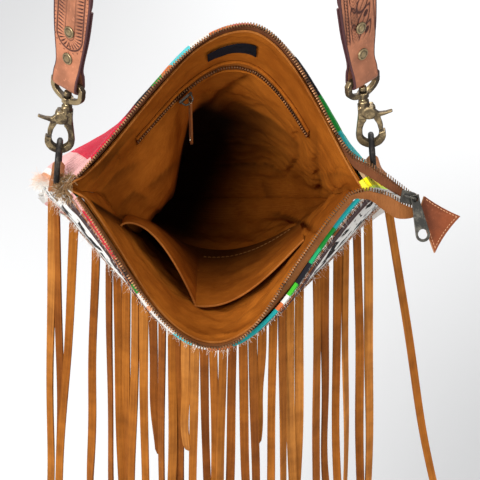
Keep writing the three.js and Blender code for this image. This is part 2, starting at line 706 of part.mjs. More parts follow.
function snapLever(group, name) {
  const outline = [
    [-1.5, 2.5], [1.5, 2.7], [4.4, 0.6], [6.6, -1.8], [11, -1.8], [15.8, -0.6], [16.4, -1.7], [11.6, -3.6],
    [7.2, -4.8], [8.9, -12], [8.9, -14.6], [8.4, -16.2], [6.2, -16.9], [5.6, -15.6], [4.8, -11], [2.4, -6],
    [-1.6, -2.8], [-2.8, 0],
  ];
  const shape = shapeOf(outline);
  const hole = new THREE.Path();
  hole.absarc(0, 0, 1.55, 0, 2 * Math.PI, false);
  shape.holes.push(hole);
  const lever = plate(shape, 3.3, 6).rotateX(Math.PI / 2);
  piece(group, `snap_lever_${name}`, lever, 'brass').position.z = HOOK.pivot;
}

function snapEye(group, name, yaw) {
  const outerHalf = EYE.half + EYE.bar;
  const centre = EYE.bottom + EYE.round;
  const high = EYE.top - EYE.bar;
  const shape = new THREE.Shape();
  shape.absellipse(0, centre, outerHalf, EYE.round, -Math.PI, 0, false);
  shape.lineTo(outerHalf, EYE.top - 3);
  shape.lineTo(outerHalf - 3, EYE.top);
  shape.lineTo(3 - outerHalf, EYE.top);
  shape.lineTo(-outerHalf, EYE.top - 3);
  const hole = new THREE.Path();
  hole.absellipse(0, centre, EYE.half, EYE.round - EYE.bar, -Math.PI, 0, false);
  hole.lineTo(EYE.half, high);
  hole.lineTo(-EYE.half, high);
  shape.holes.push(hole);
  const loop = plate(shape, EYE.bar, 8).rotateX(Math.PI / 2);
  const boss = new THREE.CylinderGeometry(4.2, 4.2, EYE.bar + 0.4, 10).rotateX(Math.PI / 2);
  boss.translate(0, 0, EYE.bottom + EYE.bar / 2);
  const bore = new THREE.CylinderGeometry(2.4, 2.4, 3 * EYE.bar, 10).rotateX(Math.PI / 2);
  bore.translate(0, 0, EYE.bottom + EYE.bar / 2);
  const eye = piece(group, `snap_eye_${name}`, cut(join(loop, boss), bore), 'brass');
  eye.position.x = HOOK.axis;
  eye.rotation.z = yaw;
}

const STRAP_END = { turn: 4.2, layer: 1.3, doubled: 62, narrow: 22 };
const RIVET_HEIGHTS = [20, 41];

// One end of the strap, from the top of its turned-back layer, round the eye's bar and up
function strapEnd(bar, up, out, across) {
  const rows = [[-1, STRAP_END.doubled], [-1, 40], [-1, 16]].map(([s, h]) => [s * STRAP_END.layer, h]);
  rows.push([-3.4, 7]);
  for (let i = 0; i <= 6; i++) {
    const angle = Math.PI * (1 + i / 6);
    rows.push([STRAP_END.turn * Math.cos(angle), STRAP_END.turn * Math.sin(angle)]);
  }
  rows.push([3.4, 7], ...[16, 40, STRAP_END.doubled].map((h) => [STRAP_END.layer, h]));
  return rows.map(([o, h]) => ({
    centre: bar.clone().addScaledVector(out, o).addScaledVector(up, h),
    across,
    width: lerp(STRAP_END.narrow, STRAP_WIDTH, THREE.MathUtils.smoothstep(h, 8, 58)),
    thickness: STRAP_LAYER,
  }));
}

function hangingPieces() {
  const ends = HANGERS.map((hanger) => {
    const base = bag.localToWorld(vector(hanger.x, hanger.y, hanger.z));
    const shoulder = vector(hanger.side * (ARCH_RADIUS + STRAP_THICKNESS / 2), 0, -ARCH_RADIUS);
    const group = frameOf(base, shoulder.clone().sub(base), vector(hanger.side, 0, 0));
    dRing(group, hanger.name);
    ringTab(group, hanger.name, hanger.tabReach);
    snapHook(group, hanger.name);
    snapLever(group, hanger.name);
    const yaw = hanger.side * EYE.yaw;
    snapEye(group, hanger.name, yaw);
    const bar = group.localToWorld(vector(HOOK.axis, 0, EYE.top - EYE.bar / 2));
    const up = vector(0, 0, 1).transformDirection(group.matrixWorld);
    const across = vector(Math.cos(yaw), Math.sin(yaw), 0).transformDirection(group.matrixWorld);
    const out = across.clone().cross(up).normalize();
    out.multiplyScalar(out.y > 0 ? -1 : 1);
    return { ...hanger, bar, up, across, out, shoulder };
  });
  return ends;
}

// The strap: both ends folded through the snaps, straight sides and a round arch over the hang point
function strap(ends) {
  const middle = STRAP_LAYER / 2 + STRAP_END.layer - STRAP_THICKNESS / 2;
  const sideSteps = 9;
  const halves = ends.map((end) => {
    const start = end.bar.clone().addScaledVector(end.up, STRAP_END.doubled + 8);
    start.addScaledVector(end.out, middle);
    const rise = start.distanceTo(end.shoulder);
    const curve = new THREE.CubicBezierCurve3(
      start,
      start.clone().addScaledVector(end.up, rise / 3),
      end.shoulder.clone().add(vector(0, 0, -rise / 3)),
      end.shoulder,
    );
    const level = vector(0, 1, 0).multiplyScalar(end.across.y < 0 ? -1 : 1);
    const sides = [];
    for (let i = 0; i < sideSteps; i++) {
      const share = i / sideSteps;
      const across = end.across.clone().lerp(level, THREE.MathUtils.smoothstep(share, 0, 0.55)).normalize();
      sides.push({ centre: curve.getPoint(share), across, width: STRAP_WIDTH, thickness: STRAP_THICKNESS });
    }
    return [...strapEnd(end.bar, end.up, end.out, end.across), ...sides].map((station) => (
      { ...station, across: station.across.clone().multiplyScalar(level.y) }));
  });
  const archSteps = 12;
  const arch = Array.from({ length: archSteps + 1 }, (_, i) => {
    const angle = Math.PI * (1 - i / archSteps);
    const radius = ARCH_RADIUS + STRAP_THICKNESS / 2;
    const centre = vector(radius * Math.cos(angle), 0, radius * Math.sin(angle) - ARCH_RADIUS);
    return { centre, across: vector(0, 1, 0), width: STRAP_WIDTH, thickness: STRAP_THICKNESS };
  });
  const path = [...halves[0], ...arch, ...halves[1].reverse()];
  const holes = [];
  for (const end of ends) {
    RIVET_HEIGHTS.forEach((height, i) => {
      const group = frameOf(end.bar.clone().addScaledVector(end.up, height), end.out, end.across);
      const hole = new THREE.CylinderGeometry(1.9, 1.9, 14, 8).rotateX(Math.PI / 2);
      holes.push(hole.applyMatrix4(group.matrixWorld));
      piece(group, `rivet_${end.name}_${i + 1}`, rivetGeometry(), 'brass');
    });
  }
  piece(handbag, 'strap', cut(sweptStrip(strapStations(path)), ...holes), 'tooled');
}

// A two-headed rivet through both layers of a strap end, its domed head on +Z
function rivetGeometry() {
  const face = STRAP_END.layer + STRAP_LAYER / 2 + PIECE_GAP;
  const profile = [
    [0, -face - 1.2], [3.6, -face - 1.2], [3.6, -face], [1.5, -face],
    [1.5, face], [4.3, face], [3.2, face + 1.3], [0, face + 1.8],
  ];
  return new THREE.LatheGeometry(profile.map(([r, z]) => new THREE.Vector2(r, z)), 8).rotateX(Math.PI / 2);
}
strap(hangingPieces());

export default handbag;
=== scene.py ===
"""A western leather handbag hanging open by its strap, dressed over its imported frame.

Every size is in millimetres in the bag's own frame unless a name says metres: x runs to the right along
the mouth, y up across the mouth and z out of it, so a depth inside the bag is minus z.
"""
from __future__ import annotations

import logging
import math
from dataclasses import dataclass, field
from enum import Enum
from typing import Iterable, Sequence

import bpy
import numpy as np
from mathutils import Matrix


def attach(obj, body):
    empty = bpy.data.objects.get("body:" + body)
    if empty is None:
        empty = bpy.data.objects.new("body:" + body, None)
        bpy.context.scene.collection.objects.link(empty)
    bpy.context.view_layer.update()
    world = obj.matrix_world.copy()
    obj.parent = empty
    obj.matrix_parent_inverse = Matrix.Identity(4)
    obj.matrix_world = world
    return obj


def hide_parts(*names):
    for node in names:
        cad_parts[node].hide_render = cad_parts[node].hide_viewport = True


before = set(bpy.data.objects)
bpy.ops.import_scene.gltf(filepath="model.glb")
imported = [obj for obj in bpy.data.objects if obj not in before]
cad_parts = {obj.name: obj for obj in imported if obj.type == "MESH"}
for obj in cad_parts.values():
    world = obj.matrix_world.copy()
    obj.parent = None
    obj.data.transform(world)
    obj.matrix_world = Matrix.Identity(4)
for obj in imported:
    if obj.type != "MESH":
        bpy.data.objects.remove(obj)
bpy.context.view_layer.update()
log = logging.getLogger("handbag")

Range = tuple[float, float]
MM = 0.001
SLANT = math.sqrt(0.5)
MOUTH_Y = -75.0
MOUTH_Z = -490.0
PANEL_THICKNESS = 2.2
LINING_THICKNESS = 1.2
ZIP_DEPTH = 14.0
CLOTH_METRES = 0.32
EYE_DISTANCE = 1300.0
AIM = (14.8, -35.2)
WAVES = 4
WAVE_FADE = 0.55
WAVE_GROWTH = 1.9
SPLINE_STEPS = 24


def to_world(points: np.ndarray) -> np.ndarray:
    """Turn points of the bag's frame into the row frame.

    Args:
        points: Array whose last axis is x, y, z in millimetres.

    Returns:
        The same points in metres.
    """
    x, y, z = points[..., 0], points[..., 1], points[..., 2]
    turned = np.stack([x, MOUTH_Y + SLANT * (y - z), MOUTH_Z + SLANT * (y + z)], axis=-1)
    return turned * MM


def blend(start: np.ndarray, end: np.ndarray, share: np.ndarray) -> np.ndarray:
    """Mix two values by a share from 0 to 1."""
    return start + (end - start) * share


def ease(value: np.ndarray, low: float, high: float) -> np.ndarray:
    """Rise smoothly from 0 at low to 1 at high."""
    share = np.clip((value - low) / (high - low), 0.0, 1.0)
    return share * share * (3.0 - 2.0 * share)


def between(value: np.ndarray, rise: Range, fall: Range) -> np.ndarray:
    """1 between a rise and a fall, each given by its start and end, and 0 outside them."""
    return ease(value, *rise) * (1.0 - ease(value, *fall))


def bell(away: np.ndarray, width: float) -> np.ndarray:
    """A smooth hump of height 1 round 0."""
    return np.exp(-(away / width) ** 2)


def unit(vectors: np.ndarray) -> np.ndarray:
    """Scale vectors on the last axis to length one."""
    length = np.linalg.norm(vectors, axis=-1, keepdims=True)
    return vectors / np.maximum(length, 1e-12)


def ripple(x: np.ndarray, y: np.ndarray, seed: int, scale: float, octaves: int = 3) -> np.ndarray:
    """Sum of seeded sine waves, a cheap smooth noise between about -1 and 1.

    Args:
        x: First coordinate.
        y: Second coordinate.
        seed: Number that fixes the waves.
        scale: Wavelength of the coarsest waves, in the coordinates' unit.
        octaves: How many finer sets of waves are added.

    Returns:
        The noise at each point.
    """
    random = np.random.default_rng(seed)
    total = np.zeros(np.broadcast(x, y).shape)
    weight = 0.0
    for octave in range(octaves):
        strength = WAVE_FADE ** octave
        for _ in range(WAVES):
            angle = random.uniform(0.0, 2.0 * math.pi)
            phase = random.uniform(0.0, 2.0 * math.pi)
            rate = 2.0 * math.pi / scale * WAVE_GROWTH ** octave * random.uniform(0.7, 1.3)
            total += strength * np.sin(rate * (x * math.cos(angle) + y * math.sin(angle)) + phase)
        weight += strength * WAVES / 2
    return total / weight


def run_lengths(line: np.ndarray) -> np.ndarray:
    """Length of a line from its start to each of its points."""
    return np.concatenate([[0.0], np.cumsum(np.linalg.norm(np.diff(line, axis=0), axis=1))])


def length_of(line: np.ndarray) -> float:
    """Whole length of a line."""
    return float(np.sum(np.linalg.norm(np.diff(line, axis=0), axis=1)))


def spline(points: Sequence[Sequence[float]], count: int) -> np.ndarray:
    """Points at even steps of length along a smooth curve through given points.

    Args:
        points: The places that the curve passes.
        count: How many points are wanted.

    Returns:
        Array of count rows.
    """
    knots = np.asarray(points, dtype=float)
    padded = np.vstack([2 * knots[0] - knots[1], knots, 2 * knots[-1] - knots[-2]])
    t = np.linspace(0.0, 1.0, SPLINE_STEPS, endpoint=False)[:, None]
    dense = []
    for i in range(len(knots) - 1):
        a, b, c, d = padded[i:i + 4]
        dense.append(0.5 * (2 * b + (c - a) * t + (2 * a - 5 * b + 4 * c - d) * t ** 2
                            + (3 * b - a - 3 * c + d) * t ** 3))
    line = np.vstack(dense + [knots[-1:]])
    steps = run_lengths(line)
    wanted = np.linspace(0.0, steps[-1], count)
    return np.stack([np.interp(wanted, steps, line[:, k]) for k in range(line.shape[1])], axis=1)


HALF_WIDTH, BACK_RISE, FRONT_RISE, SKEW, POWER = range(1, 6)


@dataclass(frozen=True)
class Wall:
    """One wall of the bag: which way it bulges and how its rim is shaped."""

    side: int
    column: int
    peak: float
    left_power: float
    left_corner: float
    right_power: float
    roll: float


BACK = Wall(side=1, column=BACK_RISE, peak=20.0, left_power=1.5, left_corner=0.25, right_power=1.2,
            roll=0.0)
FRONT = Wall(side=-1, column=FRONT_RISE, peak=-4.0, left_power=1.2, left_corner=0.0, right_power=1.4,
             roll=62.0)


@dataclass(frozen=True)
class Sections:
    """Cross sections from the mouth down: depth, half width, back, front, skew, power."""

    rows: tuple[tuple[float, ...], ...]

    def at(self, depth: np.ndarray) -> np.ndarray:
        """Give the sections at some depths, on smooth curves through the rows.

        Args:
            depth: Depths below the mouth.

        Returns:
            Array with one more axis, which holds the six columns.
        """
        rows = np.array(self.rows)
        last = len(rows) - 1
        index = np.clip(np.searchsorted(rows[:, 0], depth), 1, last)
        a, b = rows[np.maximum(index - 2, 0)], rows[index - 1]
        c, d = rows[index], rows[np.minimum(index + 1, last)]
        span = c[..., :1] - b[..., :1]
        t = (np.asarray(depth)[..., None] - b[..., :1]) / span
        start = (c - a) / (c[..., :1] - a[..., :1]) * span
        end = (d - b) / (d[..., :1] - b[..., :1]) * span
        curve = (2 * t ** 3 - 3 * t ** 2 + 1) * b + (t ** 3 - 2 * t ** 2 + t) * start
        return curve + (3 * t ** 2 - 2 * t ** 3) * c + (t ** 3 - t ** 2) * end

    def height(self, wall: Wall, x: np.ndarray, depth: np.ndarray, trim: float = 0.0) -> np.ndarray:
        """Height of a wall over the chord between the side seams.

        Args:
            wall: The wall.
            x: Places across.
            depth: Depths below the mouth.
            trim: How much the section is made smaller all round.

        Returns:
            Heights in the bag's y.
        """
        section = self.at(depth)
        skew = section[..., SKEW]
        peak = wall.peak * skew
        half = section[..., HALF_WIDTH] - 2.0 * trim
        left = x < peak
        reach = np.where(left, half + peak, half - peak)
        share = np.minimum(np.abs(x - peak) / reach, 1.0)
        power = blend(section[..., POWER], np.where(left, wall.left_power, wall.right_power), skew)
        arch = np.maximum(np.cos(share * math.pi / 2), 0.0)
        corner = np.where(left, wall.left_corner, 0.0) * skew
        rise = (section[..., wall.column] - trim) * blend(arch ** power, np.sqrt(arch), corner)
        return wall.side * (0.2 + rise)

    def point(self, wall: Wall, across: np.ndarray, depth: np.ndarray, trim: float = 0.0) -> np.ndarray:
        """Points of a wall.

        Args:
            wall: The wall.
            across: Places across, from -1 at the left seam to 1 at the right.
            depth: Depths below the mouth.
            trim: How much the section is made smaller all round.

        Returns:
            The points.
        """
        half = self.at(depth)[..., HALF_WIDTH] - 2.0 * trim
        x = half * np.sin(np.asarray(across) * math.pi / 2)
        return np.stack([x, self.height(wall, x, depth, trim), -depth + 0.0 * x], axis=-1)


BODY = Sections((
    (0, 108, 118, 113, 1, 1), (60, 121, 103, 98, 0.45, 1), (130, 137, 76, 72, 0.1, 0.95),
    (200, 147, 45, 43, 0, 0.8), (250, 150, 27, 26, 0, 0.65), (268, 149, 3, 3, 0, 0.6),
))
LINING = Sections((
    (14.4, 104, 112.6, 107.6, 1, 1), (45, 98, 101, 97, 0.7, 1.05), (95, 92, 81, 78, 0.4, 1),
    (150, 90, 60, 57, 0.2, 0.9), (210, 92, 36, 34, 0, 0.75), (238, 92, 12, 12, 0, 0.6),
))


@dataclass
class Shape:
    """Points in metres and faces of a piece under construction, with one UV and one tone for each point."""

    points: list[np.ndarray] = field(default_factory=list)
    faces: list[np.ndarray] = field(default_factory=list)
    uvs: list[np.ndarray] = field(default_factory=list)
    tones: list[np.ndarray] = field(default_factory=list)
    count: int = 0

    def add(self, points: np.ndarray, faces: np.ndarray, uv: np.ndarray | None = None,
            tone: np.ndarray | float = 0.0) -> None:
        """Add a patch of points and faces.

        Args:
            points: Points of the patch.
            faces: Rows of point numbers, all with the same number of corners.
            uv: Place of each point on the cloth, in metres.
            tone: A value for each point, which a finish may read.
        """
        flat = points.reshape(-1, 3)
        self.points.append(flat)
        self.faces.append(np.asarray(faces) + self.count)
        self.uvs.append(flat[:, :2] * 0.0 if uv is None else uv.reshape(-1, 2))
        self.tones.append(np.broadcast_to(np.asarray(tone, dtype=float).reshape(-1), len(flat)))
        self.count += len(flat)

    def build(self, name: str, smooth_angle: float = 40.0) -> bpy.types.Object:
        """Make the mesh object.

        Args:
            name: Name of the piece.
            smooth_angle: Edges flatter than this many degrees are shaded smooth.

        Returns:
            The new object, at the origin.
        """
        mesh = bpy.data.meshes.new(name)
        faces = [row for block in self.faces for row in block.tolist()]
        mesh.from_pydata(np.vstack(self.points).tolist(), [], faces)
        corner = np.empty(len(mesh.loops), dtype=np.int32)
        mesh.loops.foreach_get("vertex_index", corner)
        layer = mesh.uv_layers.new(name="cloth")
        layer.data.foreach_set("uv", np.vstack(self.uvs)[corner].astype(np.float32).ravel())
        set_tone(mesh, np.concatenate(self.tones))
        mesh.update()
        piece = bpy.data.objects.new(name, mesh)
        bpy.context.scene.collection.objects.link(piece)
        select_only(piece)
        bpy.ops.object.shade_smooth_by_angle(angle=math.radians(smooth_angle))
        return piece


def select_only(piece: bpy.types.Object) -> None:
    """Make one object the only selected and the active one.

    Args:
        piece: The object.
    """
    bpy.ops.object.select_all(action="DESELECT")
    piece.select_set(True)
    bpy.context.view_layer.objects.active = piece


def set_tone(mesh: bpy.types.Mesh, tone: np.ndarray) -> None:
    """Keep a value for each point of a mesh, which a finish may read."""
    layer = mesh.attributes.new("tone", "FLOAT", "POINT")
    layer.data.foreach_set("value", tone.astype(np.float32))


def point_normals(mesh: bpy.types.Mesh) -> np.ndarray:
    """Read the normals of a mesh.

    Args:
        mesh: The mesh.

    Returns:
        One row for each point.
    """
    normals = np.empty(len(mesh.vertices) * 3)
    mesh.vertex_normals.foreach_get("vector", normals)
    return normals.reshape(-1, 3)


def grid_faces(rows: int, columns: int, around: bool = False) -> np.ndarray:
    """Quads of a grid of points.

    Args:
        rows: Number of rows of points.
        columns: Number of points in a row.
        around: Whether the last column joins the first.

    Returns:
        Rows of four point numbers.
    """
    i, j = np.meshgrid(np.arange(rows - 1), np.arange(columns if around else columns - 1), indexing="ij")
    after = (j + 1) % columns
    return np.stack([i * columns + j, i * columns + after, (i + 1) * columns + after, (i + 1) * columns + j],
                    axis=-1).reshape(-1, 4)


def grid_normals(grid: np.ndarray) -> np.ndarray:
    """Unit normals of a grid of points, from its rows towards its columns."""
    return unit(np.cross(np.gradient(grid, axis=1), np.gradient(grid, axis=0)))


def facing_normals(grid: np.ndarray, side: int) -> np.ndarray:
    """Unit normals of a grid of points, turned up in y for side 1 and down for side -1."""
    normal = grid_normals(grid)
    return normal * np.sign(np.sum(normal[..., 1]) * side)


def thick_sheet(shape: Shape, near: np.ndarray, far: np.ndarray, uv: np.ndarray,
                tone: np.ndarray | float = 0.0) -> None:
    """Add a closed sheet between two grids of points in the bag's frame.

    Args:
        shape: The piece that it is added to.
        near: Grid of points of one face.
        far: Grid of the same size for the other face.
        uv: Place of each grid point on the cloth, in metres.
        tone: A value for each grid point.
    """
    rows, columns = near.shape[:2]
    points = np.concatenate([near.reshape(-1, 3), far.reshape(-1, 3)])
    faces = grid_faces(rows, columns)
    other = faces[:, ::-1] + rows * columns
    ring = np.concatenate([
        np.arange(columns), columns * np.arange(1, rows) + columns - 1,
        (rows - 1) * columns + np.arange(columns - 2, -1, -1), columns * np.arange(rows - 2, 0, -1),
    ])
    after = np.roll(ring, -1)
    rim = np.stack([after, ring, ring + rows * columns, after + rows * columns], axis=-1)
    every = np.concatenate([faces, other, rim])
    facing = np.sum(grid_normals(near) * (far - near))
    every = every if facing < 0 else every[:, ::-1]
    tones = np.broadcast_to(np.asarray(tone, dtype=float), (rows, columns)).reshape(-1)
    shape.add(to_world(points), every, np.concatenate([uv.reshape(-1, 2)] * 2), np.concatenate([tones] * 2))


def path_frames(line: np.ndarray, across: np.ndarray) -> tuple[np.ndarray, np.ndarray]:
    """Side and normal at each point of a line.

    Args:
        line: Points of the line.
        across: Rough side direction, one for all points or one each.

    Returns:
        Two arrays of unit vectors: across and normal.
    """
    along = unit(np.gradient(line, axis=0))
    side = np.broadcast_to(across, line.shape)
    side = unit(side - along * np.sum(along * side, axis=1, keepdims=True))
    return side, np.cross(along, side)


def tube(shape: Shape, line: np.ndarray, radius: np.ndarray | float, sides: int = 12,
         closed: bool = False, tone: float = 0.0) -> None:
    """Add a round wire along a line of the bag's frame.

    Args:
        shape: The piece that it is added to.
        line: Points of the centreline.
        radius: Radius, one for all points or one each.
        sides: Corners of the round section.
        closed: Whether the line closes on itself.
        tone: A value for all its points.
    """
    count = len(line)
    if closed:
        wrapped = np.vstack([line[-2:], line, line[:2]])
        along = unit(np.gradient(wrapped, axis=0))[2:-2]
    else:
        along = unit(np.gradient(line, axis=0))
    side = np.empty_like(line)
    start = np.cross(along[0], np.eye(3)[np.argmin(np.abs(along[0]))])
    for i in range(count):
        start = start - along[i] * np.dot(along[i], start)
        start = start / np.linalg.norm(start)
        side[i] = start
    up = np.cross(along, side)
    turn = np.linspace(0.0, 2.0 * math.pi, sides, endpoint=False)
    size = np.broadcast_to(np.asarray(radius, dtype=float), count)[:, None, None]
    ring = (side[:, None] * np.cos(turn)[None, :, None] + up[:, None] * np.sin(turn)[None, :, None]) * size
    points = line[:, None] + ring
    uv = np.stack(np.broadcast_arrays(turn[None, :] * MM, np.arange(count)[:, None] * MM), axis=-1)
    faces = grid_faces(count + (1 if closed else 0), sides, around=True)
    faces = faces % (count * sides)
    flat = points.reshape(-1, 3)
    shape.add(to_world(flat), faces[:, ::-1], uv, tone)
    if closed:
        return
    fan = np.stack([np.full(sides, sides), np.arange(sides), (np.arange(sides) + 1) % sides], axis=-1)
    for cap, ring_start, order in ((line[0], 0, 1), (line[-1], (count - 1) * sides, -1)):
        rim = flat[ring_start:ring_start + sides]
        shape.add(to_world(np.vstack([rim, cap])), fan[:, ::-order], None, tone)


def strip(shape: Shape, line: np.ndarray, across: np.ndarray, width: np.ndarray | float, thickness: float,
          tone: np.ndarray | float = 0.0, dome: float = 0.0) -> None:
    """Add a flat strip along a line of the bag's frame.

    Args:
        shape: The piece that it is added to.
        line: Points of the centreline.
        across: Direction of its width, one for all points or one each.
        width: Width, one for all points or one each.
        thickness: Thickness of the strip.
        tone: A value for each point of the line.
        dome: How much the middle stands higher than the edges.
    """
    side, normal = path_frames(line, across)
    steps = run_lengths(line)
    shares = np.linspace(-0.5, 0.5, 5)
    wide = np.broadcast_to(np.asarray(width, dtype=float), len(line))
    offset = shares[None, :] * wide[:, None]
    lift = dome * (1.0 - 4.0 * shares ** 2)[None, :, None] * normal[:, None]
    middle = line[:, None] + side[:, None] * offset[..., None] + lift
    uv = np.stack(np.broadcast_arrays(offset * MM, steps[:, None] * MM), axis=-1)
    half = normal[:, None] * thickness / 2
    tones = np.broadcast_to(np.asarray(tone, dtype=float).reshape(-1, 1), (len(line), len(shares)))
    thick_sheet(shape, middle - half, middle + half, uv, tones)


def scatter(shape: Shape, points: np.ndarray, faces: np.ndarray, places: np.ndarray, frames: np.ndarray,
            tone: np.ndarray | float = 0.0) -> None:
    """Add one small shape many times.

    Args:
        shape: The piece that they are added to.
        points: Points of the small shape.
        faces: Its faces.
        places: Where each copy goes.
        frames: For each copy, rows with the directions of its x, y and z.
        tone: A value for each copy.
    """
    copies = places[:, None] + np.einsum("pk,nkc->npc", points, frames)
    many = faces[None] + (np.arange(len(places)) * len(points))[:, None, None]
    tones = np.repeat(np.broadcast_to(np.asarray(tone, dtype=float), len(places)), len(points))
    shape.add(to_world(copies.reshape(-1, 3)), many.reshape(-1, faces.shape[1]), None, tones)


def block(width: float, length: float, height: float, pinch: float = 0.75) -> tuple[np.ndarray, np.ndarray]:
    """A small box with its top drawn in, for teeth and the like.

    Args:
        width: Size along x.
        length: Size along y.
        height: Size along z.
        pinch: Size of its top and foot against its middle.

    Returns:
        Its points and faces.
    """
    corners = np.array([[-1, -1], [1, -1], [1, 1], [-1, 1]]) * 0.5
    rings = []
    for level, size in ((-0.5, pinch), (-0.2, 1.0), (0.2, 1.0), (0.5, pinch)):
        rings.append(np.column_stack([corners * size * [width, length], np.full(4, level * height)]))
    faces = grid_faces(4, 4, around=True).tolist()
    faces += [[3, 2, 1, 0], [12, 13, 14, 15]]
    return np.vstack(rings), np.array(faces)


def cast_copy(node: str, name: str, voxel: float, rounds: int) -> bpy.types.Object:
    """Copy a hard node and round it as a casting is: one skin, soft edges.

    Args:
        node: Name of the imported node.
        name: Name of the new piece.
        voxel: Size of the skin's cells in millimetres.
        rounds: How many times the skin is smoothed.

    Returns:
        The new piece, which stands for the node.
    """
    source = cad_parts[node]
    select_only(source)
    bpy.ops.object.duplicate(linked=False)
    piece = bpy.context.view_layer.objects.active
    piece.name = name
    for key in [key for key in piece.keys() if key.startswith("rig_")]:
        del piece[key]
    bpy.ops.object.mode_set(mode="EDIT")
    bpy.ops.mesh.select_all(action="SELECT")
    bpy.ops.mesh.remove_doubles(threshold=1e-6)
    bpy.ops.object.mode_set(mode="OBJECT")
    remesh = piece.modifiers.new("skin", "REMESH")
    remesh.mode = "VOXEL"
    remesh.voxel_size = voxel * MM
    soften = piece.modifiers.new("soften", "SMOOTH")
    soften.factor = 0.5
    soften.iterations = rounds
    for modifier in ("skin", "soften"):
        bpy.ops.object.modifier_apply(modifier=modifier)
    bpy.ops.object.shade_smooth()
    return piece

Colour = tuple[float, float, float]
EDGE_TONE = 2.0


class Socket:
    """An output of a material's node that Python's operators work on."""

    def __init__(self, recipe: Recipe, output: bpy.types.NodeSocket) -> None:
        """Keep the recipe that the socket belongs to and the socket."""
        self.recipe = recipe
        self.output = output

    def _math(self, operation: str, first: Socket | float, second: Socket | float) -> Socket:
        """Add one Math node and give its output."""
        return self.recipe.node("ShaderNodeMath", {"operation": operation}, {0: first, 1: second})

    def __add__(self, other: Socket | float) -> Socket:
        """Sum of two values."""
        return self._math("ADD", self, other)

    def __radd__(self, other: float) -> Socket:
        """Sum of two values."""
        return self._math("ADD", other, self)

    def __sub__(self, other: Socket | float) -> Socket:
        """Difference of two values."""
        return self._math("SUBTRACT", self, other)

    def __rsub__(self, other: float) -> Socket:
        """Difference of two values, the other way round."""
        return self._math("SUBTRACT", other, self)

    def __mul__(self, other: Socket | float) -> Socket:
        """Product of two values."""
        return self._math("MULTIPLY", self, other)

    def __rmul__(self, other: float) -> Socket:
        """Product of two values."""
        return self._math("MULTIPLY", other, self)

    def over(self, limit: float) -> Socket:
        """1 where the value is above a limit, otherwise 0."""
        return self._math("GREATER_THAN", self, limit)

    def most(self, other: Socket | float) -> Socket:
        """The larger of two values."""
        return self._math("MAXIMUM", self, other)

    def least(self, other: Socket | float) -> Socket:
        """The smaller of two values."""
        return self._math("MINIMUM", self, other)

    def zigzag(self, run: float) -> Socket:
        """The value sent back and forth between 0 and a run."""
        return self._math("PINGPONG", self, run)

    def stepped(self, step: float) -> Socket:
        """The value cut down to whole steps."""
        return self._math("SNAP", self, step)

    def wave(self, pitch: float) -> Socket:
        """A sine of the value that repeats with a pitch, between 0 and 1."""
        return self._math("SINE", self * (2.0 * math.pi / pitch), 0.0) * 0.5 + 0.5

    def ramp(self, low: float, high: float) -> Socket:
        """Rise smoothly from 0 to 1.

        Args:
            low: Value where the rise starts.
            high: Value where it ends.

        Returns:
            A value from 0 to 1.
        """
        settings = {"interpolation_type": "SMOOTHSTEP"}
        inputs = {"Value": self, "From Min": low, "From Max": high}
        return self.recipe.node("ShaderNodeMapRange", settings, inputs)


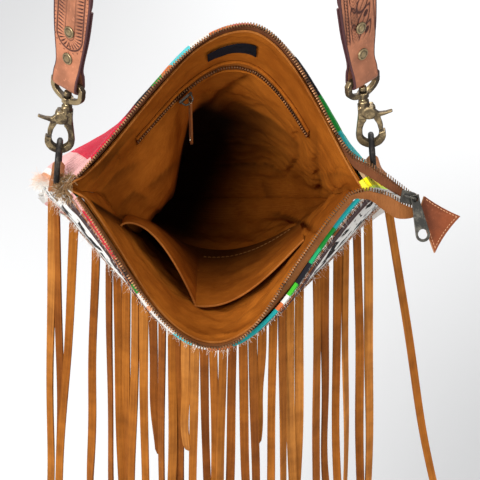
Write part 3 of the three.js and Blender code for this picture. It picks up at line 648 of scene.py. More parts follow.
class Recipe:
    """The nodes of one material: a main shader, and one way to add any other node."""

    def __init__(self, name: str) -> None:
        """Start a material with an empty main shader.

        Args:
            name: Name of the material.
        """
        self.material = bpy.data.materials.new(name)
        self.material.use_nodes = True
        self.tree = self.material.node_tree
        self.shader = next(node for node in self.tree.nodes if node.type == "BSDF_PRINCIPLED")

    def node(self, kind: str, settings: dict | None = None, inputs: dict | None = None,
             output: str | int = 0) -> Socket:
        """Add a node.

        Args:
            kind: Blender's name for the node's type.
            settings: Settings of the node, set first. A ramp's stops are given as stops.
            inputs: Values or sockets for its inputs, by name or number.
            output: Name or number of the output that is wanted.

        Returns:
            That output.
        """
        made = self.tree.nodes.new(kind)
        for key, value in (settings or {}).items():
            if key == "stops":
                self._stops(made.color_ramp, value)
            elif key == "blend":
                made.color_ramp.interpolation = value
            else:
                setattr(made, key, value)
        for key, value in (inputs or {}).items():
            self._feed(made.inputs[key], value)
        return Socket(self, made.outputs[output])

    def _stops(self, ramp: bpy.types.ColorRamp, stops: Sequence[tuple[float, Colour]]) -> None:
        """Set the stops of a colour ramp.

        Args:
            ramp: The colour ramp.
            stops: Place and colour of each stop.
        """
        while len(ramp.elements) < len(stops):
            ramp.elements.new(1.0)
        for element, (place, colour) in zip(ramp.elements, stops):
            element.position = place
            element.color = (*colour, 1.0)

    def _feed(self, socket: bpy.types.NodeSocket, value: Socket | float | Sequence[float]) -> None:
        """Link a socket, or set its value.

        Args:
            socket: The input that is fed.
            value: Another socket, or a plain value.
        """
        if isinstance(value, Socket):
            self.tree.links.new(value.output, socket)
        elif isinstance(value, (int, float)):
            socket.default_value = value
        elif socket.type == "RGBA":
            socket.default_value = (*value[:3], 1.0)
        else:
            socket.default_value = tuple(value)

    def set(self, **values: Socket | float | Sequence[float]) -> None:
        """Feed the main shader: each name is a socket's name with _ for a space."""
        for key, value in values.items():
            self._feed(self.shader.inputs[key.replace("_", " ")], value)

    def place(self) -> Socket:
        """Object coordinates in metres."""
        return self.node("ShaderNodeTexCoord", output="Object")

    def cloth(self) -> tuple[Socket, Socket, Socket]:
        """The piece's own cloth coordinates.

        Returns:
            The whole vector and its two parts, across and down.
        """
        vector = self.node("ShaderNodeUVMap", {"uv_map": "cloth"})
        split = self.node("ShaderNodeSeparateXYZ", inputs={0: vector})
        down = Socket(self, split.output.node.outputs[1])
        return vector, split, down

    def tone(self) -> Socket:
        """The value that the piece keeps for each point."""
        return self.node("ShaderNodeAttribute", {"attribute_name": "tone"}, output="Fac")

    def noise(self, vector: Socket, scale: float, detail: float = 4.0, roughness: float = 0.55) -> Socket:
        """Cloudy noise between 0 and 1."""
        return self.node("ShaderNodeTexNoise", {}, {
            "Vector": vector, "Scale": scale, "Detail": detail, "Roughness": roughness})

    def cells(self, vector: Socket, scale: float) -> Socket:
        """Cells, as the distance to their middles."""
        inputs = {"Vector": vector, "Scale": scale}
        return self.node("ShaderNodeTexVoronoi", {"feature": "F1"}, inputs, "Distance")

    def stretch(self, vector: Socket, scale: Sequence[float]) -> Socket:
        """Coordinates scaled along each axis."""
        return self.node("ShaderNodeMapping", inputs={"Vector": vector, "Scale": scale})

    def mix(self, share: Socket | float, first: Socket | Colour, second: Socket | Colour,
            way: str = "MIX") -> Socket:
        """Mix two colours by a share."""
        settings = {"data_type": "RGBA", "blend_type": way}
        return self.node("ShaderNodeMix", settings, {0: share, 6: first, 7: second}, 2)

    def colours(self, value: Socket, stops: Sequence[tuple[float, Colour]],
                blend_way: str = "LINEAR") -> Socket:
        """A colour for each value, by stops."""
        return self.node("ShaderNodeValToRGB", {"stops": stops, "blend": blend_way}, {0: value})

    def relief(self, height: Socket, depth: float) -> Socket:
        """A normal that shows a height, where depth is in millimetres."""
        inputs = {"Height": height, "Strength": 1.0, "Distance": depth * MM}
        return self.node("ShaderNodeBump", {}, inputs)


_made: dict[str, bpy.types.Material] = {}


@dataclass(frozen=True)
class Finish:
    """A finish by name, made once and shared by the pieces that carry it."""

    name: str
    slot: str

    def mix_nodes(self, recipe: Recipe) -> None:
        """Fill in the recipe of this finish."""
        raise NotImplementedError

    def material(self) -> bpy.types.Material:
        """Make the material at its first use.

        Returns:
            The material.
        """
        if self.name not in _made:
            recipe = Recipe(self.name)
            self.mix_nodes(recipe)
            _made[self.name] = recipe.material
        return _made[self.name]


@dataclass(frozen=True)
class Blanket(Finish):
    """Handwoven wool in upright stripes that step sideways on their way down."""

    stripes: tuple[tuple[float, Colour], ...] = ()
    zigzag_top: float = 0.075
    zigzag_run: float = 0.07
    zigzag_step: float = 0.014
    slope: float = 1.3
    rib_pitch: float = 0.0021
    yarn_pitch: float = 0.0035

    def mix_nodes(self, recipe: Recipe) -> None:
        """Stripes across the cloth, weft ribs, and a little fading.

        Args:
            recipe: The recipe that is filled in.
        """
        vector, across, down = recipe.cloth()
        steps = (down - self.zigzag_top).most(0.0).zigzag(self.zigzag_run).stepped(self.zigzag_step)
        fuzz = recipe.noise(recipe.stretch(vector, (900.0, 2500.0, 1.0)), 1.0, 2.0)
        inner = 1.0 - (across * across).ramp(0.0118, 0.0150)
        turn = across + steps * self.slope * inner + (fuzz - 0.5) * 0.003
        share = turn * (1.0 / CLOTH_METRES) + 0.5
        pattern = recipe.colours(share, self.stripes, "CONSTANT")
        faded = recipe.noise(vector, 60.0, 3.0)
        rib = down.wave(self.rib_pitch)
        yarn = across.wave(self.yarn_pitch)
        shade = recipe.mix((0.25 + 0.5 * faded) * (0.45 + 0.55 * rib), (1.0, 1.0, 1.0), (0.62, 0.58, 0.56))
        colour = recipe.mix(1.0, pattern, shade, "MULTIPLY")
        height = rib * (0.7 + 0.3 * yarn) + fuzz * 0.7
        recipe.set(Base_Color=colour, Roughness=0.95, Normal=recipe.relief(height, 0.5),
                   Sheen_Weight=0.08, Sheen_Roughness=0.5, Specular_IOR_Level=0.08)


@dataclass(frozen=True)
class HairBand(Finish):
    """White hair-on band with rows of short black dashes."""

    def mix_nodes(self, recipe: Recipe) -> None:
        """Stretched clouds give the dashes, fine lines the hair.

        Args:
            recipe: The recipe that is filled in.
        """
        vector, _, _ = recipe.cloth()
        streak = recipe.noise(recipe.stretch(vector, (75.0, 330.0, 1.0)), 1.0, 1.0)
        broken = recipe.noise(recipe.stretch(vector, (150.0, 150.0, 1.0)), 1.0, 1.0)
        hair = recipe.noise(recipe.stretch(vector, (260.0, 3200.0, 1.0)), 1.0, 3.0)
        dark = streak.ramp(0.50, 0.54) * broken.ramp(0.38, 0.44)
        tint = recipe.mix(hair.ramp(0.35, 0.75), (0.68, 0.66, 0.62), (0.80, 0.78, 0.75))
        recipe.set(Base_Color=recipe.mix(dark, tint, (0.028, 0.024, 0.024)), Roughness=0.7,
                   Normal=recipe.relief(hair, 0.45), Specular_IOR_Level=0.1)


@dataclass(frozen=True)
class Leather(Finish):
    """Grained leather: its face, its darker hollows and the paint of its cut edges."""

    face: Colour = (0.30, 0.10, 0.05)
    deep: Colour = (0.05, 0.018, 0.014)
    edge: Colour = (0.05, 0.02, 0.02)
    grain: float = 1500.0
    gloss: float = 0.42

    def mix_nodes(self, recipe: Recipe) -> None:
        """Cells give the grain, clouds the dye, and the point's tone the hollows and edges.

        Args:
            recipe: The recipe that is filled in.
        """
        spot = recipe.place()
        tone = recipe.tone()
        pores = recipe.cells(spot, self.grain)
        cloud = recipe.noise(spot, 45.0, 5.0, 0.6)
        fleck = recipe.noise(spot, 420.0, 3.0, 0.6)
        pale = tuple(min(1.0, 1.35 * part + 0.02) for part in self.face)
        dull = tuple(0.55 * part for part in self.face)
        dyed = recipe.mix(cloud.ramp(0.3, 0.7), dull, self.face)
        worn = recipe.mix(fleck.ramp(0.55, 0.8) * 0.55, dyed, pale)
        hollow = recipe.mix(tone.ramp(0.05, 0.85), worn, self.deep)
        colour = recipe.mix(tone.over(0.75 * EDGE_TONE), hollow, self.edge)
        height = pores * 0.6 + fleck * 0.5
        recipe.set(Base_Color=colour, Roughness=self.gloss + 0.25 * cloud, Normal=recipe.relief(height, 0.16),
                   Specular_IOR_Level=0.22)


@dataclass(frozen=True)
class Suede(Finish):
    """Napped split leather whose strips differ a little in dye."""

    def mix_nodes(self, recipe: Recipe) -> None:
        """The strip's tone picks its dye, and carries painted shade just below the head; clouds and fibres
        give the nap.

        Args:
            recipe: The recipe that is filled in.
        """
        vector, _, _ = recipe.cloth()
        spot = recipe.place()
        tone = recipe.tone()
        dye = recipe.colours(tone, ((0.0, (0.130, 0.036, 0.007)), (0.35, (0.25, 0.074, 0.010)),
                                    (0.7, (0.37, 0.125, 0.016)), (1.0, (0.47, 0.185, 0.038))))
        cloud = recipe.noise(spot, 38.0, 4.0, 0.6)
        nap = recipe.noise(recipe.stretch(spot, (1400.0, 1400.0, 500.0)), 1.0, 4.0, 0.65)
        streak = recipe.noise(recipe.stretch(vector, (700.0, 12.0, 1.0)), 1.0, 2.0)
        mottle = (cloud * 0.55 + streak * 0.45).ramp(0.35, 0.65)
        dark = recipe.mix(mottle, (0.62, 0.56, 0.52), (1.08, 1.05, 1.0))
        colour = recipe.mix(1.0, dye, dark, "MULTIPLY")
        flecked = recipe.mix(nap.ramp(0.55, 0.8) * 0.3, colour, (0.46, 0.18, 0.035))
        recipe.set(Base_Color=flecked, Roughness=0.92, Normal=recipe.relief(nap, 0.3),
                   Sheen_Weight=0.04, Sheen_Roughness=0.45, Specular_IOR_Level=0.05)


@dataclass(frozen=True)
class Cloth(Finish):
    """Plain woven cloth; the point's tone darkens it where no light reaches."""

    thread: Colour = (0.43, 0.132, 0.014)
    shade: Colour = (0.25, 0.066, 0.006)
    depth: Colour = (0.004, 0.002, 0.001)
    pitch: float = 0.0007
    relief_depth: float = 0.22

    def mix_nodes(self, recipe: Recipe) -> None:
        """Two sets of threads, clouds of dye and the dark of the point's tone.

        Args:
            recipe: The recipe that is filled in.
        """
        vector, across, down = recipe.cloth()
        spot = recipe.place()
        tone = recipe.tone()
        warp = across.wave(self.pitch)
        weft = down.wave(self.pitch)
        cloud = recipe.noise(spot, 28.0, 5.0, 0.6)
        slub = recipe.noise(recipe.stretch(vector, (120.0, 1800.0, 1.0)), 1.0, 2.0)
        crease = recipe.noise(recipe.stretch(vector, (55.0, 90.0, 1.0)), 1.0, 4.0, 0.5)
        dyed = recipe.mix((cloud * 0.7 + slub * 0.3).ramp(0.34, 0.66), self.shade, self.thread)
        woven = recipe.mix((1.0 - warp * weft) * 0.22, dyed, self.shade)
        colour = recipe.mix(tone, woven, self.depth)
        height = warp * 0.3 + weft * 0.3 + slub * 0.5 + crease * 7.0
        recipe.set(Base_Color=colour, Roughness=0.85, Normal=recipe.relief(height, self.relief_depth),
                   Specular_IOR_Level=0.04)


@dataclass(frozen=True)
class Metal(Finish):
    """Plated metal with a dark patina and bright worn places; a piece's tone may also carry painted highlight
    and painted shade.
    """

    bright: Colour = (0.46, 0.34, 0.18)
    patina: Colour = (0.05, 0.034, 0.020)
    wear: float = 0.33
    gloss: float = 0.26

    def mix_nodes(self, recipe: Recipe) -> None:
        """Clouds of patina, scratches, and the point's tone for worn edges, painted highlight and painted
        shade.

        Args:
            recipe: The recipe that is filled in.
        """
        spot = recipe.place()
        tone = recipe.tone()
        cloud = recipe.noise(spot, 130.0, 5.0, 0.6)
        fleck = recipe.noise(spot, 900.0, 3.0, 0.6)
        scratch = recipe.noise(recipe.stretch(spot, (300.0, 300.0, 4000.0)), 1.0, 2.0)
        dark = (cloud * 0.8 + fleck * 0.3).ramp(self.wear, self.wear + 0.28)
        # A high tone shows bright metal, for worn edges and painted highlight; a negative tone shows patina
        # colour as painted shade.
        shown = (dark - tone * 0.9).most(0.0).least(1.0)
        colour = recipe.mix(shown, self.bright, self.patina)
        recipe.set(Base_Color=colour, Metallic=1.0 - 0.35 * shown,
                   Roughness=self.gloss + 0.22 * shown + 0.08 * scratch,
                   Normal=recipe.relief(fleck * 0.5 + scratch * 0.3, 0.06))


@dataclass(frozen=True)
class Fibre(Finish):
    """Loose wool or jute hairs, each with its own shade."""

    light: Colour = (0.85, 0.80, 0.72)
    dark: Colour = (0.45, 0.36, 0.25)

    def mix_nodes(self, recipe: Recipe) -> None:
        """The hair's tone picks its shade, with flecks along it.

        Args:
            recipe: The recipe that is filled in.
        """
        fleck = recipe.noise(recipe.place(), 1500.0, 2.0)
        colour = recipe.mix((recipe.tone() * 0.7 + fleck * 0.4).ramp(0.15, 0.85), self.dark, self.light)
        recipe.set(Base_Color=colour, Roughness=0.9, Normal=recipe.relief(fleck, 0.05),
                   Specular_IOR_Level=0.1)


@dataclass(frozen=True)
class Studio(Finish):
    """Pale paint for the floor with painted shade, a little greyer towards two corners of the view."""

    pale: Colour = (0.595, 0.595, 0.595)
    grey: Colour = (0.41, 0.41, 0.412)
    middle: float = 0.74
    spread: float = 0.16

    def mix_nodes(self, recipe: Recipe) -> None:
        """A soft slope of painted shade between the pale paint and a grey, which fades back to the pale paint
        far off.

        Args:
            recipe: The recipe that is filled in.
        """
        spot = recipe.place()
        right = recipe.node("ShaderNodeSeparateXYZ", {}, {0: spot}, "X")
        back = recipe.node("ShaderNodeSeparateXYZ", {}, {0: spot}, "Y")
        slope = right * (back - self.middle) * (1.0 / self.spread)
        shaded = recipe.mix(slope.ramp(-1.1, 0.7), self.grey, self.pale)
        far = right * right + (back - self.middle) * (back - self.middle)
        paint = recipe.mix(far.ramp(0.35, 0.9), shaded, self.pale)
        recipe.set(Base_Color=paint, Roughness=0.95, Specular_IOR_Level=0.05)

WHITE = (0.78, 0.75, 0.70)
PEACH = (0.72, 0.33, 0.17)
PINK = (0.80, 0.42, 0.40)
CRIMSON = (0.62, 0.018, 0.050)
MAROON = (0.16, 0.012, 0.018)
BLACK = (0.014, 0.014, 0.018)
GREEN = (0.012, 0.24, 0.035)
LEAF = (0.06, 0.45, 0.03)
EMERALD = (0.02, 0.34, 0.13)
ORANGE = (0.62, 0.16, 0.045)
TEAL = (0.02, 0.36, 0.36)
CYAN = (0.10, 0.55, 0.58)
TAN = (0.42, 0.27, 0.15)
YELLOW = (0.80, 0.70, 0.01)
LIME = (0.55, 0.72, 0.08)


def stripes(*places: tuple[float, Colour]) -> tuple[tuple[float, Colour], ...]:
    """Turn places across a wall, from -1 to 1, into stops from 0 to 1."""
    return tuple((0.5 + 0.5 * place, colour) for place, colour in places)


BACK_BLANKET = Blanket("blanket_back", "blanket", stripes(
    (-1.0, WHITE), (-0.93, PEACH), (-0.86, WHITE), (-0.81, PINK), (-0.63, CRIMSON), (-0.42, MAROON),
    (-0.37, BLACK), (-0.29, GREEN), (-0.245, ORANGE), (-0.21, CYAN), (-0.12, WHITE), (-0.04, ORANGE),
    (0.05, CRIMSON), (0.15, TEAL), (0.24, WHITE), (0.32, BLACK), (0.44, GREEN), (0.555, TEAL), (0.66, WHITE),
    (0.72, TAN), (0.78, YELLOW), (0.87, LIME), (0.94, WHITE)))
FRONT_BLANKET = Blanket("blanket_front", "blanket", stripes(
    (-1.0, WHITE), (-0.85, PINK), (-0.70, CRIMSON), (-0.48, BLACK), (-0.39, GREEN), (-0.355, WHITE),
    (-0.31, PEACH), (-0.295, WHITE), (-0.19, CYAN), (-0.11, WHITE), (-0.05, ORANGE), (0.05, TEAL),
    (0.24, ORANGE), (0.26, WHITE), (0.29, LEAF), (0.33, BLACK), (0.40, EMERALD), (0.46, GREEN), (0.54, TEAL),
    (0.73, TAN), (0.80, WHITE)))
HAIR_BAND = HairBand("hair_band", "hair_band")
TRIM = Leather("dark_trim", "dark_trim", face=(0.062, 0.026, 0.026), deep=(0.02, 0.009, 0.009),
               edge=(0.34, 0.105, 0.032), gloss=0.62)
SUEDE = Suede("suede", "suede")
COTTON = Cloth("cotton_lining", "cotton_lining")
HEM = Cloth("lining_hem", "cotton_lining", thread=(0.45, 0.165, 0.035), shade=(0.27, 0.08, 0.014))
TAPE = Cloth("zip_tape", "zip_tape", thread=(0.185, 0.066, 0.028), shade=(0.095, 0.034, 0.015), pitch=0.0011,
             relief_depth=0.3)
TAN_TAPE = Cloth("zip_tape_tan", "zip_tape", thread=(0.29, 0.108, 0.034), shade=(0.17, 0.060, 0.018),
                 pitch=0.0011, relief_depth=0.3)
TOOLED = Leather("tooled_leather", "tooled_leather", face=(0.46, 0.175, 0.090), deep=(0.060, 0.020, 0.015),
                 edge=(0.075, 0.030, 0.032))
RED_LEATHER = Leather("red_leather", "tooled_leather", face=(0.22, 0.052, 0.015), deep=(0.06, 0.02, 0.012),
                      edge=(0.42, 0.17, 0.06), gloss=0.5)
BRASS = Metal("antique_brass", "antique_brass")
DARK_WIRE = Metal("dark_wire", "antique_brass", bright=(0.10, 0.085, 0.07), patina=(0.012, 0.010, 0.009),
                  wear=0.30, gloss=0.34)
TOOTH = Metal("zip_teeth", "antique_brass", bright=(0.30, 0.15, 0.07), patina=(0.040, 0.018, 0.009),
              wear=0.42, gloss=0.46)
GUNMETAL = Metal("gunmetal", "gunmetal", bright=(0.20, 0.185, 0.15), patina=(0.042, 0.040, 0.035), wear=0.30,
                 gloss=0.36)
LABEL_CLOTH = Cloth("black_cloth", "black_cloth", thread=(0.016, 0.016, 0.022), shade=(0.006, 0.006, 0.008),
                    pitch=0.0006)
DULL_THREAD = Fibre("dull_thread", "cotton_lining", light=(0.20, 0.085, 0.025), dark=(0.13, 0.05, 0.012))
TAB_LEATHER = Leather("tab_leather", "tooled_leather", face=(0.40, 0.15, 0.05), deep=(0.08, 0.03, 0.015),
                      edge=(0.45, 0.18, 0.07), gloss=0.55)
POCKET_TAPE = Cloth("pocket_tape_cloth", "zip_tape", thread=(0.33, 0.105, 0.018), shade=(0.20, 0.060, 0.010),
                    pitch=0.0011, relief_depth=0.3)
PALE_BRASS = Metal("pale_brass", "antique_brass", bright=(0.62, 0.52, 0.36), patina=(0.16, 0.13, 0.09),
                   wear=0.5)
TAB_THREAD = Fibre("tab_thread", "tooled_leather", light=(0.55, 0.28, 0.15), dark=(0.35, 0.14, 0.07))
LIME_WOOL = Fibre("lime_wool", "blanket", light=(0.84, 0.76, 0.05), dark=(0.60, 0.55, 0.02))
PEACH_WOOL = Fibre("peach_wool", "blanket", light=(0.82, 0.60, 0.48), dark=(0.70, 0.42, 0.28))
WOOL = Fibre("wool_hairs", "hair_band", light=(0.92, 0.89, 0.84), dark=(0.62, 0.56, 0.48))
JUTE = Fibre("jute_hairs", "blanket", light=(0.42, 0.27, 0.13), dark=(0.19, 0.10, 0.045))


def finish_piece(piece: bpy.types.Object, finish: Finish, body: str = "root",
                 nodes: Iterable[str] = ()) -> bpy.types.Object:
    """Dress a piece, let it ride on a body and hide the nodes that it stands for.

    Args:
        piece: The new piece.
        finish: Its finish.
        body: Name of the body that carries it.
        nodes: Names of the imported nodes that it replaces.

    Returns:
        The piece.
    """
    piece.data.materials.clear()
    piece.data.materials.append(finish.material())
    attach(piece, body)
    if nodes:
        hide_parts(*nodes)
    log.info("%s: %d faces, on %s", piece.name, len(piece.data.polygons), body)
    return piece


BAND_BELLY = 6.5
BELLY_DEPTHS = ((33.0, 46.0), (58.0, 84.0))
FRONT_TUCK = 4.0
BACK_TUCK = 2.6
TUCK_FADE = (40.0, 110.0)
SWELL = np.array([-12.0, 9.0, 0.0])
SWELL_DEPTHS = ((22.0, 44.0), (62.0, 125.0))
SWELL_DROP = (-8.0, 20.0)
SWELL_LEFT = (74.0, 114.0)
BACK_SIDE = ((0.08, 0.30), (0.58, 0.84))
FRONT_SIDES = (0.24, 0.50)
FRONT_SIDE_ENDS = (0.80, 0.88)
NEARBY = 0.004


def swollen(points: np.ndarray) -> np.ndarray:
    """Push the body's wall out where the thick wool bunches up by the left corner.

    Args:
        points: Points of the wall.

    Returns:
        The moved points.
    """
    deep = between(-points[..., 2], *SWELL_DEPTHS)
    low = 1.0 - ease(-points[..., 1], *SWELL_DROP)
    share = deep * low * ease(-points[..., 0], *SWELL_LEFT)
    return points + share[..., None] * SWELL


def side_move(wall: Wall, across: np.ndarray, depth: np.ndarray, push: np.ndarray) -> np.ndarray:
    """Moves of a wall's points away from the bag, on both sides of the front and on the back's left.

    Args:
        wall: The wall.
        across: Places across, from -1 to 1.
        depth: Depths below the mouth.
        push: How far out the points go.

    Returns:
        The moves.
    """
    run = BODY.point(wall, across + NEARBY, depth) - BODY.point(wall, across - NEARBY, depth)
    out = wall.side * unit(np.stack([-run[..., 1], run[..., 0], 0.0 * run[..., 0]], axis=-1))
    if wall is BACK:
        sides = between(-across, *BACK_SIDE)
    else:
        end = np.where(across < 0.0, *FRONT_SIDE_ENDS)
        sides = between(np.abs(across), FRONT_SIDES, (end, 1.0))
    return out * (sides * push)[..., None]


def tuck(wall: Wall, across: np.ndarray, depth: np.ndarray) -> np.ndarray:
    """How a wall draws in below the zip, as moves of its points."""
    drawn = np.clip(depth / ZIP_DEPTH, 0.0, 1.0) * (1.0 - ease(depth, *TUCK_FADE))
    return side_move(wall, across, depth, -(BACK_TUCK if wall is BACK else FRONT_TUCK) * drawn)


def clothed(wall: Wall, across: np.ndarray, depth: np.ndarray) -> np.ndarray:
    """Points of a wall as its soft cloth lies, with the front's hair band standing out on both sides.

    Args:
        wall: The wall.
        across: Places across, from -1 to 1.
        depth: Depths below the mouth.

    Returns:
        The points.
    """
    points = swollen(BODY.point(wall, across, depth)) + tuck(wall, across, depth)
    if wall is BACK:
        return points
    return points + side_move(wall, across, depth, BAND_BELLY * between(depth, *BELLY_DEPTHS))


@dataclass
class Body:
    """Outer panels of the bag: wool at the back, and yoke, trim, hair band and wool at the front."""

    top: float = 6.0
    yoke_end: float = 26.0
    trim_end: float = 36.0
    band_end: float = 58.0
    foot: float = 268.0
    gap: float = 0.3
    trim_lap: float = 4.0
    trim_overhang: float = 2.0
    trim_rise: float = 2.7
    rim_fold: float = 1.25
    columns: int = 121

    def panel(self, name: str, wall: Wall, start: float, end: float, finish: Finish, rows: int,
              puff: float, proud: float = 0.0, fold: float = 0.0) -> None:
        """Build one panel.

        Args:
            name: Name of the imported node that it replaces.
            wall: The wall that it lies on.
            start: Depth of its upper edge.
            end: Depth of its lower edge.
            finish: Its finish.
            rows: Rows of points down it.
            puff: How uneven its face is.
            proud: How far it stands off the body's wall.
            fold: How far its upper edge is turned in, to meet the zip's tape.
        """
        across = np.linspace(-1.0, 1.0, self.columns)
        depth = np.linspace(start, end, rows)
        wide, deep = np.meshgrid(across, depth)
        near = clothed(wall, wide, deep)
        normal = facing_normals(near, wall.side)
        near = near + normal * proud
        edge = np.minimum(ease(deep, start, start + 2.0), 1.0 - ease(deep, end - 2.0, end))
        rough = puff * ripple(wide * 150.0, deep, 7 + rows, 26.0)
        thickness = PANEL_THICKNESS * (0.55 + 0.45 * edge) + rough * edge
        far = near + normal * thickness[..., None]
        near = near - normal * (fold * (1.0 - ease(deep, start, start + 5.0)))[..., None]
        uv = np.stack([wide * CLOTH_METRES / 2, deep * MM], axis=-1)
        tone = np.where(edge < 0.2, EDGE_TONE, 0.0) if isinstance(finish, Leather) else 0.0
        shape = Shape()
        thick_sheet(shape, near, far, uv, tone)
        piece = finish_piece(shape.build(f"{name}_cloth", 60.0), finish, nodes=[name])

    def build(self) -> None:
        """Build all five panels."""
        fold = self.rim_fold
        self.panel("back_panel", BACK, self.top, self.foot, BACK_BLANKET, 110, 0.35, fold=fold)
        self.panel("front_yoke", FRONT, self.top, self.yoke_end, FRONT_BLANKET, 12, 0.25, fold=fold)
        self.panel("front_trim", FRONT, self.yoke_end - self.trim_lap, self.trim_end + self.trim_overhang,
                   TRIM, 16, 0.1, self.trim_rise)
        self.panel("front_band", FRONT, self.trim_end + self.gap, self.band_end, HAIR_BAND, 20, 0.3)
        self.panel("front_panel", FRONT, self.band_end + self.gap, self.foot, FRONT_BLANKET, 90, 0.35)


@dataclass(frozen=True)
class Crease:
    """A crease in the lining along points seen from in front, in the picture's units.

    Its shadow falls to the right of the line's own direction.
    """

    line: tuple[tuple[float, float], ...]
    depth: float
    width: float
    shade: float = 0.0
    fade: float = 8.0

    def reach(self, seen: np.ndarray) -> tuple[np.ndarray, np.ndarray]:
        """Find the nearest part of the line.

        Args:
            seen: Places in the picture.

        Returns:
            How far they lie to the right of the line, and where along it, from 0 to 1.
        """
        total = np.full(seen.shape[:-1], np.inf)
        side = np.zeros(seen.shape[:-1])
        along = np.zeros(seen.shape[:-1])
        points = np.array(self.line, dtype=float)
        for i, (start, end) in enumerate(zip(points[:-1], points[1:])):
            run = end - start
            share = np.clip((seen - start) @ run / (run @ run), 0.0, 1.0)
            away = seen - (start + share[..., None] * run)
            distance = np.linalg.norm(away, axis=-1)
            nearer = distance < total
            total = np.where(nearer, distance, total)
            turn = np.sign(run[0] * away[..., 1] - run[1] * away[..., 0])
            side = np.where(nearer, turn, side)
            along = np.where(nearer, (i + share) / (len(points) - 1), along)
        return total * side, along

    def offset(self, seen: np.ndarray) -> np.ndarray:
        """How far the cloth moves into the bag's inside.

        Args:
            seen: Places in the picture.

        Returns:
            A move for each place.
        """
        aside, _ = self.reach(seen)
        ridge = 0.7 * bell(aside - 2.0 * self.width, 1.5 * self.width)
        return self.depth * (ridge - bell(aside, self.width))

    def shadow(self, seen: np.ndarray) -> np.ndarray:
        """How much darker the cloth is beside the crease, fading out at the line's ends.

        Args:
            seen: Places in the picture.

        Returns:
            A share of dark for each place.
        """
        aside, along = self.reach(seen)
        ends = np.sqrt(np.maximum(np.sin(math.pi * along), 0.0))
        return self.shade * ends * ease(aside, -1.6, 0.8) * np.exp(-np.maximum(aside, 0.0) / self.fade)


PICTURE_SCALE = 1.42
PICTURE_MIDDLE = (219.0, 190.0)


def seen_place(points: np.ndarray) -> np.ndarray:
    """Where points are seen from in front.

    Args:
        points: Points of the bag's frame.

    Returns:
        Their places in the picture's units, to the right and down.
    """
    scale = (EYE_DISTANCE / (EYE_DISTANCE - points[..., 2]))[..., None]
    place = np.array(AIM) + (points[..., :2] - np.array(AIM)) * scale
    return np.array(PICTURE_MIDDLE) + PICTURE_SCALE * place * np.array([1.0, -1.0])


